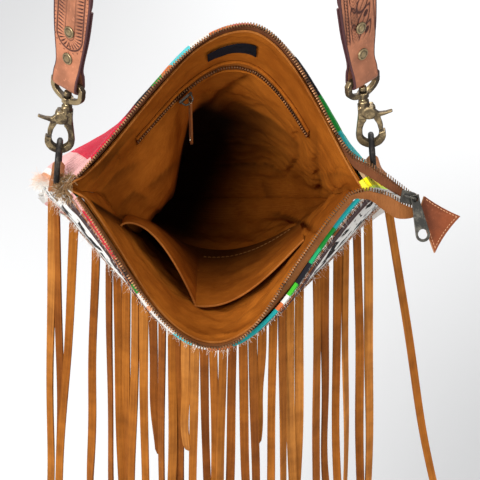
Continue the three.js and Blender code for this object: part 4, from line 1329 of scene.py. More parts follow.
@dataclass
class Pouch:
    """The loose cotton lining with its rolled hem."""

    top: float = 8.6
    full: float = 14.4
    foot: float = 238.0
    rim_gap: float = 2.4
    rows: int = 138
    columns: int = 160
    measured_row: int = 40
    hem_ends: int = 4
    loose_depths: tuple[Range, Range] = ((14.0, 45.0), (215.0, 238.0))
    seam_places: tuple[Range, Range] = ((-1.0, -0.8), (0.86, 1.0))
    zip_depths: tuple[Range, Range] = ((16.0, 24.0), (68.0, 84.0))
    zip_half: float = 74.0
    bulge: float = 42.0
    bulge_shift: float = 12.0
    bulge_depths: tuple[Range, Range] = ((60.0, 118.0), (135.0, 205.0))
    flare_depth: float = 26.0
    closing_depth: float = 10.0
    gather_depth: float = 17.5
    back_creases: tuple[Crease, ...] = (
        Crease(((250, 74), (247, 78), (224, 94), (193, 117)), 3.4, 4.5, 0.35, 12.0),
        Crease(((222, 95), (247, 107), (273, 120), (302, 146)), 3.0, 6.0, 0.62, 26.0),
        Crease(((317, 125), (318, 160), (323, 205)), 3.2, 4.5, 0.30, 9.0),
        Crease(((316, 176), (340, 172), (362, 181)), 2.0, 3.5, 0.35, 5.0),
        Crease(((322, 196), (342, 188), (358, 184)), 1.6, 3.0, 0.30, 5.0),
        Crease(((273, 219), (266, 196), (260, 178)), 3.4, 4.5, 0.45, 7.0),
        Crease(((206, 167), (240, 163), (270, 163), (286, 175)), 2.6, 4.0, 0.75, 5.0),
        Crease(((297, 138), (299, 156), (291, 169)), 2.0, 4.0, 0.35, 8.0),
        Crease(((100, 192), (118, 172), (140, 160)), 2.4, 4.0, 0.50, 7.0),
        Crease(((137, 129), (115, 155), (94, 182)), 2.4, 8.0, 0.50, 15.0),
        Crease(((146, 188), (164, 172), (180, 158)), 2.4, 3.5, 0.55, 7.0),
        Crease(((84, 172), (104, 160), (116, 140)), 2.0, 4.5, 0.35, 8.0),
        Crease(((118, 207), (134, 192), (150, 198)), 2.4, 4.0, 0.50, 7.0),
    )
    front_creases: tuple[Crease, ...] = (
        Crease(((268, 211), (290, 217), (318, 229)), 3.0, 5.0, 0.70, 6.0),
        Crease(((66, 185), (90, 200), (112, 214), (140, 231)), 2.5, 5.0, 1.0, 9.0),
        Crease(((112, 232), (130, 262), (146, 290), (170, 318)), 1.8, 5.0, 0.25, 6.0),
        Crease(((250, 322), (280, 292), (300, 262)), 1.5, 5.0),
    )
    dark_depth: float = 86.0
    dark_left_depth: float = 118.0
    dark_start: tuple[float, float] = (211.0, 100.0)
    dark_run: tuple[float, float] = (-51.0, 125.0)
    dark_ends: tuple[Range, Range] = ((-24.0, 14.0), (128.0, 178.0))
    dark_side: Range = (20.0, 92.0)

    def creases(self, wall: Wall) -> tuple[Crease, ...]:
        """The creases of one wall."""
        return self.back_creases if wall is BACK else self.front_creases

    def sag(self, wall: Wall, across: np.ndarray, points: np.ndarray) -> np.ndarray:
        """How the inner pocket pushes the back wall in at the left, and how the cloth ripples.

        Args:
            wall: The wall.
            across: Places across, from -1 to 1.
            points: Points of the smooth wall.

        Returns:
            Moves of the points.
        """
        x, depth = points[..., 0], -points[..., 2]
        loose = between(depth, *self.loose_depths)
        seam = between(across, *self.seam_places)
        rough = 2.2 * ripple(x, depth, 31 + wall.side, 52.0) + 0.9 * ripple(x, depth, 41 + wall.side, 17.0)
        seen = seen_place(points)
        for crease in self.creases(wall):
            rough = rough + crease.offset(seen)
        if wall is BACK:
            zipped = between(depth, *self.zip_depths) * (np.abs(x) < self.zip_half)
            rough = rough * (1.0 - 0.8 * zipped)
        move = np.zeros_like(points)
        move[..., 1] = -wall.side * rough * loose * seam
        if wall is BACK:
            swell = between(depth, *self.bulge_depths) * seam
            move[..., 1] -= self.bulge * swell * ease(-x, 20.0, 46.0)
            move[..., 0] += self.bulge_shift * swell * ease(-x, 24.0, 60.0)
        return move

    def wall(self, wall: Wall, trim: float) -> np.ndarray:
        """Points of one wall's face.

        Args:
            wall: The wall.
            trim: How far in from the lining's outside the face lies.

        Returns:
            A grid of points, from the hem down.
        """
        across = np.linspace(-1.0, 1.0, self.columns)
        depth = np.linspace(self.top, self.foot, self.rows)
        wide, deep = np.meshgrid(across, depth)
        points = LINING.point(wall, wide, np.maximum(deep, self.full), trim)
        points[..., 2] = -deep
        closing = 1.0 - ease(deep, self.foot - self.closing_depth, self.foot)
        points = points + self.sag(wall, wide, points)
        points[..., 1] = points[..., 1] * closing - wall.side * 0.8 * (1.0 - closing)
        gap = self.rim_gap * (1.0 - 0.8 * ease(-wide, 0.76, 0.88))
        sewn = BODY.point(wall, wide, deep, trim + gap) + tuck(wall, wide, deep)
        flare = 1.0 - ease(deep, self.full, self.full + self.flare_depth)
        points = blend(points, sewn, flare[..., None])
        gather = (2.6 if wall is FRONT else 0.6) * bell(deep - self.gathers(wall, wide), 2.4)
        points[..., 1] -= wall.side * gather
        return points

    def gathers(self, wall: Wall, across: np.ndarray) -> np.ndarray:
        """Depth of the wavy fold where the lining is gathered below the zip."""
        return self.gather_depth + 4.0 * ripple(across * 150.0, 0.0 * across, 87 + wall.side, 24.0)

    def face(self, wall: Wall, x: np.ndarray, depth: np.ndarray) -> np.ndarray:
        """Points of a wall's inner face below the hem.

        Args:
            wall: The wall.
            x: Places across.
            depth: Depths below the mouth.

        Returns:
            The points.
        """
        half = LINING.at(depth)[..., HALF_WIDTH] - 2.0 * LINING_THICKNESS
        across = np.arcsin(np.clip(x / half, -1.0, 1.0)) * 2.0 / math.pi
        points = np.stack([x, LINING.height(wall, x, depth, LINING_THICKNESS), -depth], axis=-1)
        return points + self.sag(wall, across, points)

    def darkness(self, wall: Wall, points: np.ndarray) -> np.ndarray:
        """How little light reaches each place, from 0 at the mouth to 1 in the depth.

        Args:
            wall: The wall.
            points: Points of its inner face.

        Returns:
            A share for each point.
        """
        depth = -points[..., 2]
        start = self.dark_depth
        if wall is BACK:
            start = blend(start, self.dark_left_depth, ease(-points[..., 0], 10.0, 36.0))
        seen = seen_place(points)
        away = seen - np.array(self.dark_start)
        down = np.array(self.dark_run) / np.linalg.norm(self.dark_run)
        along, aside = away @ down, away @ np.array([down[1], -down[0]])
        ends = between(along, *self.dark_ends)
        dark = ease(depth, start, start + 24.0) * (1.0 - ease(aside, *self.dark_side)) * ends * 0.99
        for crease in self.creases(wall):
            dark = dark + (1.0 - dark) * crease.shadow(seen) * ease(depth, 14.0, 28.0)
        if wall is FRONT:
            across = np.broadcast_to(np.linspace(-1.0, 1.0, depth.shape[1]), depth.shape)
            below = depth - self.gathers(wall, across)
            fold = 0.45 * ease(below, 0.0, 2.5) * np.exp(-np.maximum(below, 0.0) / 4.0)
            dark = dark + (1.0 - dark) * fold * (1.0 - ease(np.abs(across), 0.7, 0.95))
        return dark

    def build(self) -> None:
        """Build both walls of the lining as one piece, and its rolled hem as another."""
        shape = Shape()
        hem = Shape()
        for wall in (BACK, FRONT):
            outer = self.wall(wall, 0.0)
            inner = self.wall(wall, LINING_THICKNESS)
            run = run_lengths(inner[self.measured_row])[None, :]
            uv = np.stack(np.broadcast_arrays(run * MM, -inner[..., 2] * MM), axis=-1)
            thick_sheet(shape, inner, outer, uv, self.darkness(wall, inner))
            edge = inner[0, self.hem_ends:-self.hem_ends].copy()
            place = np.linspace(0.0, 1.0, len(edge))
            edge[:, 2] += 0.5 + 0.7 * ripple(place * 300.0, 0.0 * place, 61 + wall.side, 34.0)
            edge[:, 1] += wall.side * 0.25
            tube(hem, edge, 0.85 + 0.2 * ripple(place * 300.0, 0.0 * place, 65, 20.0), 8)
        piece = finish_piece(shape.build("lining_cloth", 60.0), COTTON, nodes=["lining"])
        roll = finish_piece(hem.build("lining_hem"), HEM)


@dataclass
class SlipPocket:
    """The open pocket with two compartments on the front wall of the lining."""

    left: float = -73.0
    seam: float = -18.0
    right: float = 62.0
    top: float = 62.0
    bottom: float = 180.0
    gape: tuple[float, float] = (26.0, 7.0)

    def wall(self, rise: float, share: np.ndarray, depth: np.ndarray) -> np.ndarray:
        """Points of the pocket's sheet.

        Args:
            rise: How far they lie above its lower face.
            share: Places across, from 0 to 1 over the first compartment and to 2 over the second.
            depth: Depths below the mouth.

        Returns:
            The points.
        """
        place = share % 1.0
        place = np.where(share >= 2.0, 1.0, place)
        x = np.where(share < 1.0, blend(self.left, self.seam, place), blend(self.seam, self.right, place))
        closing = np.clip((self.bottom - depth) / (self.bottom - self.top), 0.0, 1.0)
        gape = np.where(share < 1.0, self.gape[0], self.gape[1])
        bulge = gape * np.maximum(np.sin(math.pi * place), 0.0) ** 0.8 * closing ** 0.7
        y = LINING.height(FRONT, x, depth, LINING_THICKNESS)
        slack = 0.8 * ripple(x, depth, 91, 30.0) * ease(depth, self.top, self.top + 20.0)
        return np.stack([x, y + 1.2 + bulge + rise + slack * (bulge > 3.0), -depth], axis=-1)

    def build(self) -> None:
        """Build the pocket's sheet, its turned hem and its stitches."""
        share, depth = np.meshgrid(np.linspace(0.0, 2.0, 121), np.linspace(self.top, self.bottom, 60))
        near = self.wall(0.0, share, depth)
        far = self.wall(LINING_THICKNESS, share, depth)
        uv = np.stack([share * 0.075, depth * MM], axis=-1)
        # Painted shade: the pocket's cloth darker deeper in the bag, a little less so towards the right.
        dark = ease(depth, 70.0, 175.0) * blend(0.86, 0.62, ease(near[..., 0], 0.0, 55.0))
        shape = Shape()
        thick_sheet(shape, near, far, uv, dark)
        piece = finish_piece(shape.build("slip_pocket_cloth", 60.0), COTTON, nodes=["slip_pocket"])
        hem = Shape()
        edge = 0.5 * (near[0] + far[0])
        tube(hem, edge, 0.8, 8)
        roll = finish_piece(hem.build("slip_pocket_hem"), HEM)
        stitches = Shape()
        across = np.linspace(1.05, 1.9, 24)
        line = self.wall(LINING_THICKNESS + 0.15, across, np.full(len(across), self.bottom - 22.0))
        put_stitches(stitches, line, np.array([0.0, 1.0, 0.0]), 3.4, 0.42)
        sewn = finish_piece(stitches.build("slip_pocket_stitches"), DULL_THREAD)


STITCH_TONE = 0.6
STITCH_SHARE = 0.68


def put_stitches(shape: Shape, line: np.ndarray, outward: np.ndarray, pitch: float, radius: float) -> None:
    """Sew a line of stitches.

    Args:
        shape: The piece that they are added to.
        line: Points of the seam.
        outward: Direction away from the sewn surface.
        pitch: Distance from one stitch to the next.
        radius: Half the thickness of the thread.
    """
    ends = spline(line, 2 * max(2, int(length_of(line) / pitch)))
    share = np.linspace(0.0, 1.0, 5)
    arch = np.sin(math.pi * share)
    rise = arch[:, None] * radius * 0.8 * outward
    for start, after in zip(ends[::2], ends[1::2]):
        run = STITCH_SHARE * pitch * unit(after - start)
        thread = start + run * share[:, None] + rise
        tube(shape, thread, radius * (0.75 + 0.25 * arch), 6, tone=STITCH_TONE)


BACK_TAIL = (
    (89, 29.6, -25, 8), (96, 22.4, -50, 8.5), (104.8, 18.2, -60, 9), (111.5, 13.8, -62, 9),
    (118.3, 9.5, -62, 9), (125, 4.7, -62, 8), (131, 0.2, -64, 6.5), (136, -3.4, -66, 5), (141, -5.4, -68, 4),
)
FRONT_TAIL = (
    (104.8, -0.7, -62, 6.5), (109.5, -1.5, -66, 8), (114, -2.5, -72, 10.5), (119, -3.9, -76, 12.5),
    (124, -6.5, -78, 13), (129, -9.4, -80, 11), (135, -11.9, -80, 8), (141, -13.6, -76, 4.5),
)
TAIL_DROOP = 0.23
TAIL_START = 110.0
TAPE_INSET = 2.0
ZIP_VOXEL = 0.24
ZIP_ROUNDS = 3
SLIDER_WEAR = 0.25


def tail_depth(x: float) -> float:
    """Height of the zip's drooping tail over the mouth's plane."""
    return -max(x - TAIL_START, 0.0) * math.tan(TAIL_DROOP)


def worn_edges(piece: bpy.types.Object, strength: float) -> None:
    """Give a flat plate a tone that is high along its edges, where its plating wears.

    Args:
        piece: The piece.
        strength: How high the tone gets.
    """
    mesh = piece.data
    places = np.empty(len(mesh.vertices) * 3)
    mesh.vertices.foreach_get("co", places)
    places = places.reshape(-1, 3)
    flat = np.linalg.svd(places - places.mean(axis=0), full_matrices=False)[2][2]
    set_tone(mesh, strength * ease(1.0 - np.abs(point_normals(mesh) @ flat), 0.08, 0.6))


def paint_light_and_shade(piece: bpy.types.Object, light_from: np.ndarray) -> None:
    """Give a cast piece a painted highlight on the side that faces the light, and painted shade in the colour
    of dark patina on the side away from it.

    Args:
        piece: The piece.
        light_from: Direction of the lit side, which gets the painted highlight, in the world.
    """
    facing = point_normals(piece.data) @ unit(light_from)
    set_tone(piece.data, 0.9 * ease(facing, 0.6, 0.95) - 1.2 * ease(-facing, -0.4, 0.4))


def zip_metal(node: str, name: str, wear: float, finish: Finish, body: str = "root") -> None:
    """Build a zip's slider or pull as a casting with worn edges.

    Args:
        node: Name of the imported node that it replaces.
        name: Name of the piece.
        wear: How worn its edges are.
        finish: Its finish.
        body: Name of the body that carries it.
    """
    piece = cast_copy(node, name, ZIP_VOXEL, ZIP_ROUNDS)
    worn_edges(piece, wear)
    finish_piece(piece, finish, body, [node])


def row_frames(rows: np.ndarray) -> np.ndarray:
    """Directions along, across and out of a row of teeth, from rows of place, side and normal."""
    along = unit(np.gradient(rows[:, :3], axis=0))
    return np.stack([along, unit(rows[:, 3:6]), unit(rows[:, 6:9])], axis=1)


@dataclass
class MouthZip:
    """The zip round the mouth: two tapes with teeth, running on past the right corner to an end tab."""

    tape_width: float = ZIP_DEPTH
    rolled_width: float = 5.0
    thickness: float = 0.9
    bead: float = 2.0
    pitch: float = 2.0

    def stations(self, wall: Wall, start: float, end: float, tail: Sequence[Sequence[float]]) -> np.ndarray:
        """Edge, side direction and width of a tape along its run.

        Args:
            wall: The wall that carries it.
            start: Where it starts across the wall.
            end: Where it leaves the wall.
            tail: Rows of its free tail: x, y, tilt in degrees, width.

        Returns:
            Rows of seven numbers: edge, side direction, width.
        """
        rows = []
        for across in np.linspace(start, end, 31):
            edge = BODY.point(wall, across, np.array(0.0))
            depth = np.array(self.tape_width)
            slope = unit(BODY.point(wall, across, depth) + tuck(wall, np.array(across), depth) - edge)
            ahead = BODY.point(wall, across + 0.01, np.array(0.0))
            along = ahead - BODY.point(wall, across - 0.01, np.array(0.0))
            outward = unit(np.cross(along, slope))
            outward = outward * np.sign(outward[1] * wall.side)
            rolled = float(ease(np.array(across), 0.05, 0.62))
            roll = math.radians(wall.roll * rolled)
            narrow = self.rolled_width if wall.roll > 0 else self.tape_width
            width = blend(self.tape_width, narrow, rolled)
            lie = slope * math.cos(roll) + outward * math.sin(roll)
            edge = edge - outward * (TAPE_INSET + width * math.sin(roll))
            rows.append([*edge, *lie, width])
        for x, y, tilt, width in tail:
            angle = math.radians(tilt)
            rows.append([x, y, tail_depth(x), 0.0, math.sin(angle), -math.cos(angle), width])
        return np.array(rows)

    def tape(self, wall: Wall, start: float, end: float, tail: Sequence[Sequence[float]], name: str,
             finish: Finish) -> None:
        """Build one tape with its teeth.

        Args:
            wall: The wall that carries it.
            start: Where it starts across the wall.
            end: Where it leaves the wall.
            tail: Rows of its free tail.
            name: Which tape it is.
            finish: Finish of the cloth.
        """
        rows = spline(self.stations(wall, start, end, tail), 420)
        edge, side, width = rows[:, :3], unit(rows[:, 3:6]), rows[:, 6]
        along = unit(np.gradient(edge, axis=0))
        normal = unit(np.cross(along, side))
        normal = normal * np.sign(normal[:, 1] * wall.side)[:, None]
        run = run_lengths(edge)
        count = int(run[-1] / self.pitch)
        share = np.linspace(0.0, 1.0, 9)
        grid = edge[:, None] + side[:, None] * (share[None, :] * width[:, None])[..., None]
        wave = 0.18 * ripple(run[:, None] + 0.0 * share, share[None, :] * 9.0, 71 + wall.side, 22.0)
        grid = grid + normal[:, None] * wave[..., None]
        half = normal[:, None] * self.thickness / 2
        uv = np.stack(np.broadcast_arrays(share[None, :] * width[:, None] * MM, run[:, None] * MM), axis=-1)
        shape = Shape()
        thick_sheet(shape, grid - half, grid + half, uv)
        piece = finish_piece(shape.build(f"mouth_tape_{name}", 60.0), finish, nodes=[f"zip_tape_{name}"])
        line = edge - side * (self.bead - 0.7)
        places = spline(np.column_stack([line, side, normal]), count)
        frames = row_frames(places)
        tooth, faces = block(1.05, 2.6, 2.4, 0.75)
        teeth = Shape()
        random = np.random.default_rng(5)
        scatter(teeth, tooth, faces, places[:, :3], frames, random.uniform(0.0, 0.5, len(places)))
        cord_line = edge + side * 1.0 - normal * (self.thickness / 2 + 0.25)
        bars, bar_faces = block(1.0, 1.3, 0.7, 0.8)
        sewn = spline(np.column_stack([cord_line, side, normal]), count)
        scatter(teeth, bars, bar_faces, sewn[:, :3], frames, 0.15)
        toothed = finish_piece(teeth.build(f"mouth_teeth_{name}"), TOOTH, nodes=[f"zip_teeth_{name}"])

    def end_tab(self) -> None:
        """Model the leather tab on the zip's end: a plate with softened edges and a seam along two sides."""
        corners = np.array([(12.4, 1.4), (39.5, -12.9), (20.2, -39.2), (8.9, -9.2)])
        bows = (0.9, 1.5, 0.0, 0.0)
        share = np.linspace(0.0, 1.0, 6, endpoint=False)[:, None]
        sides = []
        for i, bow in enumerate(bows):
            run = corners[(i + 1) % 4] - corners[i]
            inward = np.array([run[1], -run[0]]) / np.linalg.norm(run)
            sides.append(corners[i] + share * run + 4.0 * bow * share * (1.0 - share) * inward)
        outline = np.concatenate(sides)
        right = np.array([math.cos(TAIL_DROOP), 0.0, -math.sin(TAIL_DROOP)])
        up = np.array([0.0, 1.0, 0.0])
        out = np.cross(right, up)
        root = np.array([133.0, -5.4, tail_depth(133.0)])
        flat = root + outline[:, :1] * right + outline[:, 1:] * up
        back = to_world(flat - out * 1.5)
        rise = to_world(flat + out * 1.5)[0] - back[0]
        bpy.ops.object.select_all(action="DESELECT")
        bpy.ops.mesh.primitive_circle_add(vertices=len(flat), fill_type="NGON", location=(0.0, 0.0, 0.0))
        piece = bpy.context.view_layer.objects.active
        piece.name = "end_tab_leather"
        for vertex, place in zip(piece.data.vertices, back):
            vertex.co = place
        bpy.ops.object.mode_set(mode="EDIT")
        bpy.ops.mesh.select_all(action="SELECT")
        bpy.ops.mesh.extrude_region_move(TRANSFORM_OT_translate={"value": tuple(rise)})
        bpy.ops.mesh.select_all(action="SELECT")
        bpy.ops.mesh.normals_make_consistent(inside=False)
        bpy.ops.mesh.bevel(offset=0.00055, segments=3, affect="EDGES")
        bpy.ops.object.mode_set(mode="OBJECT")
        bpy.ops.object.shade_smooth_by_angle(angle=math.radians(35.0))
        level = np.abs(point_normals(piece.data) @ unit(rise))
        set_tone(piece.data, np.where(level < 0.8, EDGE_TONE, 0.0))
        finish_piece(piece, RED_LEATHER, nodes=["zip_end_tab"])
        stitches = Shape()
        middle = flat.mean(axis=0)
        seam = middle + (flat - middle) * 0.84
        for first in (0, 6, 12):
            for face in (1.55, -1.55):
                line = spline(seam[first:first + 7] + out * face, 30)
                put_stitches(stitches, line, out * np.sign(face), 2.2, 0.34)
        finish_piece(stitches.build("end_tab_stitches"), TAB_THREAD)

    def build(self) -> None:
        """Build both tapes, the slider, its pull and the end tab."""
        self.tape(BACK, -0.78, 0.55, BACK_TAIL, "back", TAPE)
        self.tape(FRONT, -0.78, 0.72, FRONT_TAIL, "front", TAN_TAPE)
        zip_metal("zip_slider", "mouth_slider", SLIDER_WEAR, GUNMETAL)
        zip_metal("zip_pull", "mouth_pull", 1.0, GUNMETAL, "main_pull")
        self.end_tab()


@dataclass
class PocketZip:
    """The zip of the inner pocket and the bare label above it, on the back wall of the lining."""

    pouch: Pouch
    left: float = -62.0
    right: float = 66.0
    depth: float = 60.0
    width: float = 12.0
    pitch: float = 2.0

    def patch(self, name: str, left: float, right: float, top: float, foot: float, lift: float,
              thickness: float, finish: Finish, node: str, columns: int, rows: int) -> np.ndarray:
        """Lay a patch of cloth on the lining.

        Args:
            name: Name of the piece.
            left: Its left end.
            right: Its right end.
            top: Depth of its upper edge.
            foot: Depth of its lower edge.
            lift: How far it stands off the lining.
            thickness: Its thickness.
            finish: Its finish.
            node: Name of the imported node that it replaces.
            columns: Points along it.
            rows: Points across it.

        Returns:
            Points of its face.
        """
        x, deep = np.meshgrid(np.linspace(left, right, columns), np.linspace(top, foot, rows))
        under = self.pouch.face(BACK, x, deep)
        normal = facing_normals(under, -1)
        near = under + normal * lift
        far = near + normal * thickness
        uv = np.stack([x * MM, deep * MM], axis=-1)
        shape = Shape()
        thick_sheet(shape, near, far, uv)
        piece = finish_piece(shape.build(name, 60.0), finish, nodes=[node])
        return far

    def build(self) -> None:
        """Build the tape, teeth, slider, pull and label."""
        half = self.width / 2
        face = self.patch("pocket_tape", self.left, self.right, self.depth - half, self.depth + half,
                          0.5, 0.8, POCKET_TAPE, "pocket_zip_tape", 120, 9)
        welts = Shape()
        for row in (0, -1):
            tube(welts, face[row], 1.25, 8)
        finish_piece(welts.build("pocket_welts"), COTTON)
        half_way = len(face) // 2
        middle, normal = face[half_way], facing_normals(face, -1)[half_way]
        side = unit(face[-1] - face[0])
        count = int(length_of(middle) / self.pitch)
        rows = spline(np.column_stack([middle + normal * 1.1, side, normal]), count)
        tooth, faces = block(1.0, 3.6, 1.9, 0.7)
        teeth = Shape()
        tone = np.random.default_rng(8).uniform(0, 0.4, len(rows))
        scatter(teeth, tooth, faces, rows[:, :3], row_frames(rows), tone)
        finish_piece(teeth.build("pocket_teeth"), TOOTH, nodes=["pocket_zip_teeth"])
        zip_metal("pocket_zip_slider", "pocket_slider", SLIDER_WEAR, GUNMETAL)
        zip_metal("pocket_zip_pull", "pocket_pull", 0.9, PALE_BRASS, "inner_pull")
        self.patch("label_cloth", -9.0, 27.0, 27.0, 40.0, 0.9, 0.6, LABEL_CLOTH, "label", 40, 16)


def to_bag(points: np.ndarray) -> np.ndarray:
    """Turn millimetres of the row frame into the bag's frame."""
    y, z = points[..., 1] - MOUTH_Y, points[..., 2] - MOUTH_Z
    return np.stack([points[..., 0], SLANT * (y + z), SLANT * (z - y)], axis=-1)


def turn_to_bag(vector: np.ndarray) -> np.ndarray:
    """Turn a direction of the row frame into the bag's frame."""
    return np.stack([vector[..., 0], SLANT * (vector[..., 1] + vector[..., 2]),
                     SLANT * (vector[..., 2] - vector[..., 1])], axis=-1)


class Tooling(Enum):
    """The two cuts of the strap's ends."""

    SCALLOPS = "a round border of scallops"
    LEAVES = "leaves and petals"


SNAP_VOXEL = 0.42
SNAP_ROUNDS = 6
RIVET = (
    (0.0, 1.35, 0.9), (1.296, 1.30, 0.8), (2.106, 1.12, 0.5), (2.754, 0.82, 0.0), (2.997, 0.84, 0.1),
    (3.483, 0.98, 0.8), (4.05, 0.82, 0.6), (4.3335, 0.45, 0.2), (4.4145, 0.0, 0.0),
)


@dataclass
class Hanger:
    """One side of the hanging: leather tab, ring, snap and the strap's end."""

    name: str
    side: int
    bar: tuple[float, float, float]
    tab_reach: float
    tooling: Tooling
    # Direction from which the snap gets its painted highlight; its far side gets painted shade.
    light_from: tuple[float, float, float]
    arch: float = 65.0
    strap_thickness: float = 4.0
    hook_axis: float = -3.5
    eye_bar: float = 76.5
    yaw: float = 0.7
    wire: float = 2.15
    ring_half: float = 12.5
    ring_leg: float = 12.0
    tab_width: float = 14.0
    tab_thickness: float = 1.9
    rivet_heights: tuple[float, float] = (20.0, 41.0)
    rivet_foot: float = 2.55

    def __post_init__(self) -> None:
        """Work out the snap's frame and the strap end's directions, in the row frame in millimetres."""
        self.base = to_world(np.array(self.bar)) / MM
        self.shoulder = np.array([self.side * (self.arch + self.strap_thickness / 2), 0.0, -self.arch])
        self.up = unit(self.shoulder - self.base)
        outward = np.array([float(self.side), 0.0, 0.0])
        self.out_x = unit(outward - self.up * np.dot(outward, self.up))
        self.out_y = np.cross(self.up, self.out_x)
        turn = self.side * self.yaw
        self.across = self.out_x * math.cos(turn) + self.out_y * math.sin(turn)
        self.eye = self.base + self.out_x * self.hook_axis + self.up * self.eye_bar
        facing = np.cross(self.across, self.up)
        self.out = facing * (-1.0 if facing[1] > 0 else 1.0)

    def at(self, x: np.ndarray, y: np.ndarray, z: np.ndarray) -> np.ndarray:
        """Turn points of the snap's frame into the bag's frame.

        Args:
            x: Distances out to the side.
            y: Distances across the snap.
            z: Distances up the snap.

        Returns:
            The points.
        """
        world = self.base + x[..., None] * self.out_x + y[..., None] * self.out_y + z[..., None] * self.up
        return to_bag(world)

    def ring(self) -> None:
        """Build the ring of wire."""
        half, leg = self.ring_half, self.ring_leg
        turn = np.linspace(0.0, math.pi, 28)
        y = np.concatenate([np.linspace(-half + 1.2, half - 1.2, 14), [half - 0.3, half],
                            half * np.cos(turn), [-half, -half + 0.3]])
        z = np.concatenate([np.zeros(14), [0.3, 1.2], leg + half * np.sin(turn), [1.2, 0.3]])
        line = self.at(np.zeros(len(y)), y, z)
        shape = Shape()
        tube(shape, line, self.wire, 16, closed=True)
        finish_piece(shape.build(f"ring_{self.name}"), DARK_WIRE, nodes=[f"d_ring_{self.name}"])

    def tab(self) -> None:
        """Build the leather tab that holds the ring to the side seam."""
        turn = self.wire + 1.35
        reach = self.tab_reach
        angle = np.linspace(0.0, math.pi, 14)
        out = np.concatenate([[reach + 1.3, reach * 0.55 + 1.3], turn * np.cos(angle),
                              [reach * 0.55 - 1.3, reach - 1.3]])
        rise = np.concatenate([[-13.0, -7.5], turn * np.sin(angle), [-7.5, -13.0]])
        line = spline(self.at(out, np.zeros(len(out)), rise), 50)
        shape = Shape()
        strip(shape, line, turn_to_bag(self.out_y), self.tab_width, self.tab_thickness)
        piece = shape.build(f"tab_{self.name}", 45.0)
        finish_piece(piece, TAB_LEATHER, nodes=[f"d_tab_{self.name}"])

    def snap(self) -> None:
        """Build the snap: hook, lever and eye, as castings with softened edges."""
        for part, body in (("hook", "root"), ("lever", f"lever_{self.name}"), ("eye", "root")):
            piece = cast_copy(f"snap_{part}_{self.name}", f"{part}_{self.name}", SNAP_VOXEL, SNAP_ROUNDS)
            # Painted highlight on the lit side and painted shade on the far side, kept in the tone.
            paint_light_and_shade(piece, np.array(self.light_from))
            finish_piece(piece, BRASS, body, [f"snap_{part}_{self.name}"])

    def rivets(self) -> None:
        """Build domed rivets with a raised ring at both heights, on both faces."""
        radius, level, shade = np.array(RIVET).T
        turn = np.linspace(0.0, 2.0 * math.pi, 36, endpoint=False)
        faces = grid_faces(len(radius), len(turn), around=True)
        tone = np.repeat(shade, len(turn))
        disc = (self.across * (radius[:, None] * np.cos(turn))[..., None]
                + self.up * (radius[:, None] * np.sin(turn))[..., None])
        rise = self.out * (self.rivet_foot + level)[:, None, None]
        turned = np.dot(np.cross(self.across, self.up), self.out)
        for number, height in enumerate(self.rivet_heights, start=1):
            place = self.eye + self.up * height
            shape = Shape()
            for face in (1.0, -1.0):
                points = to_bag(disc + rise * face + place)
                around = faces if turned * face < 0 else faces[:, ::-1]
                shape.add(to_world(points), around, None, tone)
            piece = shape.build(f"rivet_head_{self.name}_{number}", 50.0)
            finish_piece(piece, BRASS, nodes=[f"rivet_{self.name}_{number}"])


SCALLOP_END = 46.0
LEAVES = 40
LEAF_START = 42.0
LEAF_PITCH = 13.0
LEAF_TILT = -0.55
BLADE_TILT = 0.12


def scallop_cut(u: np.ndarray, v: np.ndarray) -> np.ndarray:
    """Depth of a U-shaped border of scallops round a plain tongue, from 0 to 1.

    Args:
        u: Places across the strap, from its middle.
        v: Places along it, from its turned end.

    Returns:
        Depth of the cut.
    """
    end = SCALLOP_END
    away = np.where(v > end, np.abs(u), np.hypot(u, v - end))
    along = np.where(v > end, v - end, np.arctan2(end - v, np.abs(u)) * -9.5)
    ray = 0.5 + 0.5 * np.cos(2.0 * math.pi * (along - 0.25 * away) / 2.7)
    border = between(away, (4.6, 5.6), (10.4, 11.2))
    flute = border * ease(ray, 0.35, 0.85) * (0.45 + 0.55 * ease(away, 5.0, 9.0))
    line = bell(away - 11.9, 0.75) + 0.8 * bell(away - 4.2, 0.5)
    vein = 0.5 * bell(np.abs(u) - 1.9, 0.4) * ease(v, end + 6.0, end + 14.0)
    dots = bell(away - 14.0, 0.6) * ease(np.cos(2.0 * math.pi * along / 3.0), 0.3, 0.8)
    return np.clip(flute + line + vein + 0.8 * dots, 0.0, 1.0)


def leaf_cut(u: np.ndarray, v: np.ndarray) -> np.ndarray:
    """Depth of a running pattern of long leaves and hollow petals, from 0 to 1.

    Args:
        u: Places across the strap, from its middle.
        v: Places along it, from its turned end.

    Returns:
        Depth of the cut.
    """
    total = np.zeros(np.broadcast(u, v).shape)
    for number in range(LEAVES):
        along = v - (LEAF_START + LEAF_PITCH * number)
        a = (u - 4.4) * math.cos(LEAF_TILT) + along * math.sin(LEAF_TILT)
        b = -(u - 4.4) * math.sin(LEAF_TILT) + along * math.cos(LEAF_TILT)
        size = np.hypot(a / (3.9 - 0.18 * b), b / 9.2)
        hollow = 1.0 - ease(np.hypot(a / 1.9, (b - 2.4) / 3.2), 0.75, 1.05)
        vein = bell(a, 0.4) * (b < 0.0) * (size < 0.95)
        leaf = np.maximum(bell(size - 1.0, 0.15), np.maximum(hollow, 0.8 * vein))
        c = (u + 4.6) * math.cos(BLADE_TILT) + along * math.sin(BLADE_TILT)
        blade = np.hypot(c / 2.9, (along - 2.0) / 8.6)
        ribs = 0.5 + 0.5 * np.cos(2.0 * math.pi * (v - np.abs(c) * 1.3) / 2.5)
        inside = (blade < 0.88) * ease(ribs, 0.55, 0.95) * 0.6
        petal = np.maximum(bell(blade - 1.0, 0.13), inside)
        total = np.maximum(total, np.maximum(leaf, petal))
    braid = bell(u + 9.9, 0.55) + bell(u + 12.6, 0.45)
    knots = bell(u + 11.3, 1.1) * ease(np.cos(2.0 * math.pi * (v + u) / 2.6), 0.1, 0.6)
    edge = bell(u - 13.2, 0.5)
    return np.clip(np.maximum(total, braid + 0.7 * knots + edge) * ease(v, 36.0, LEAF_START), 0.0, 1.0)


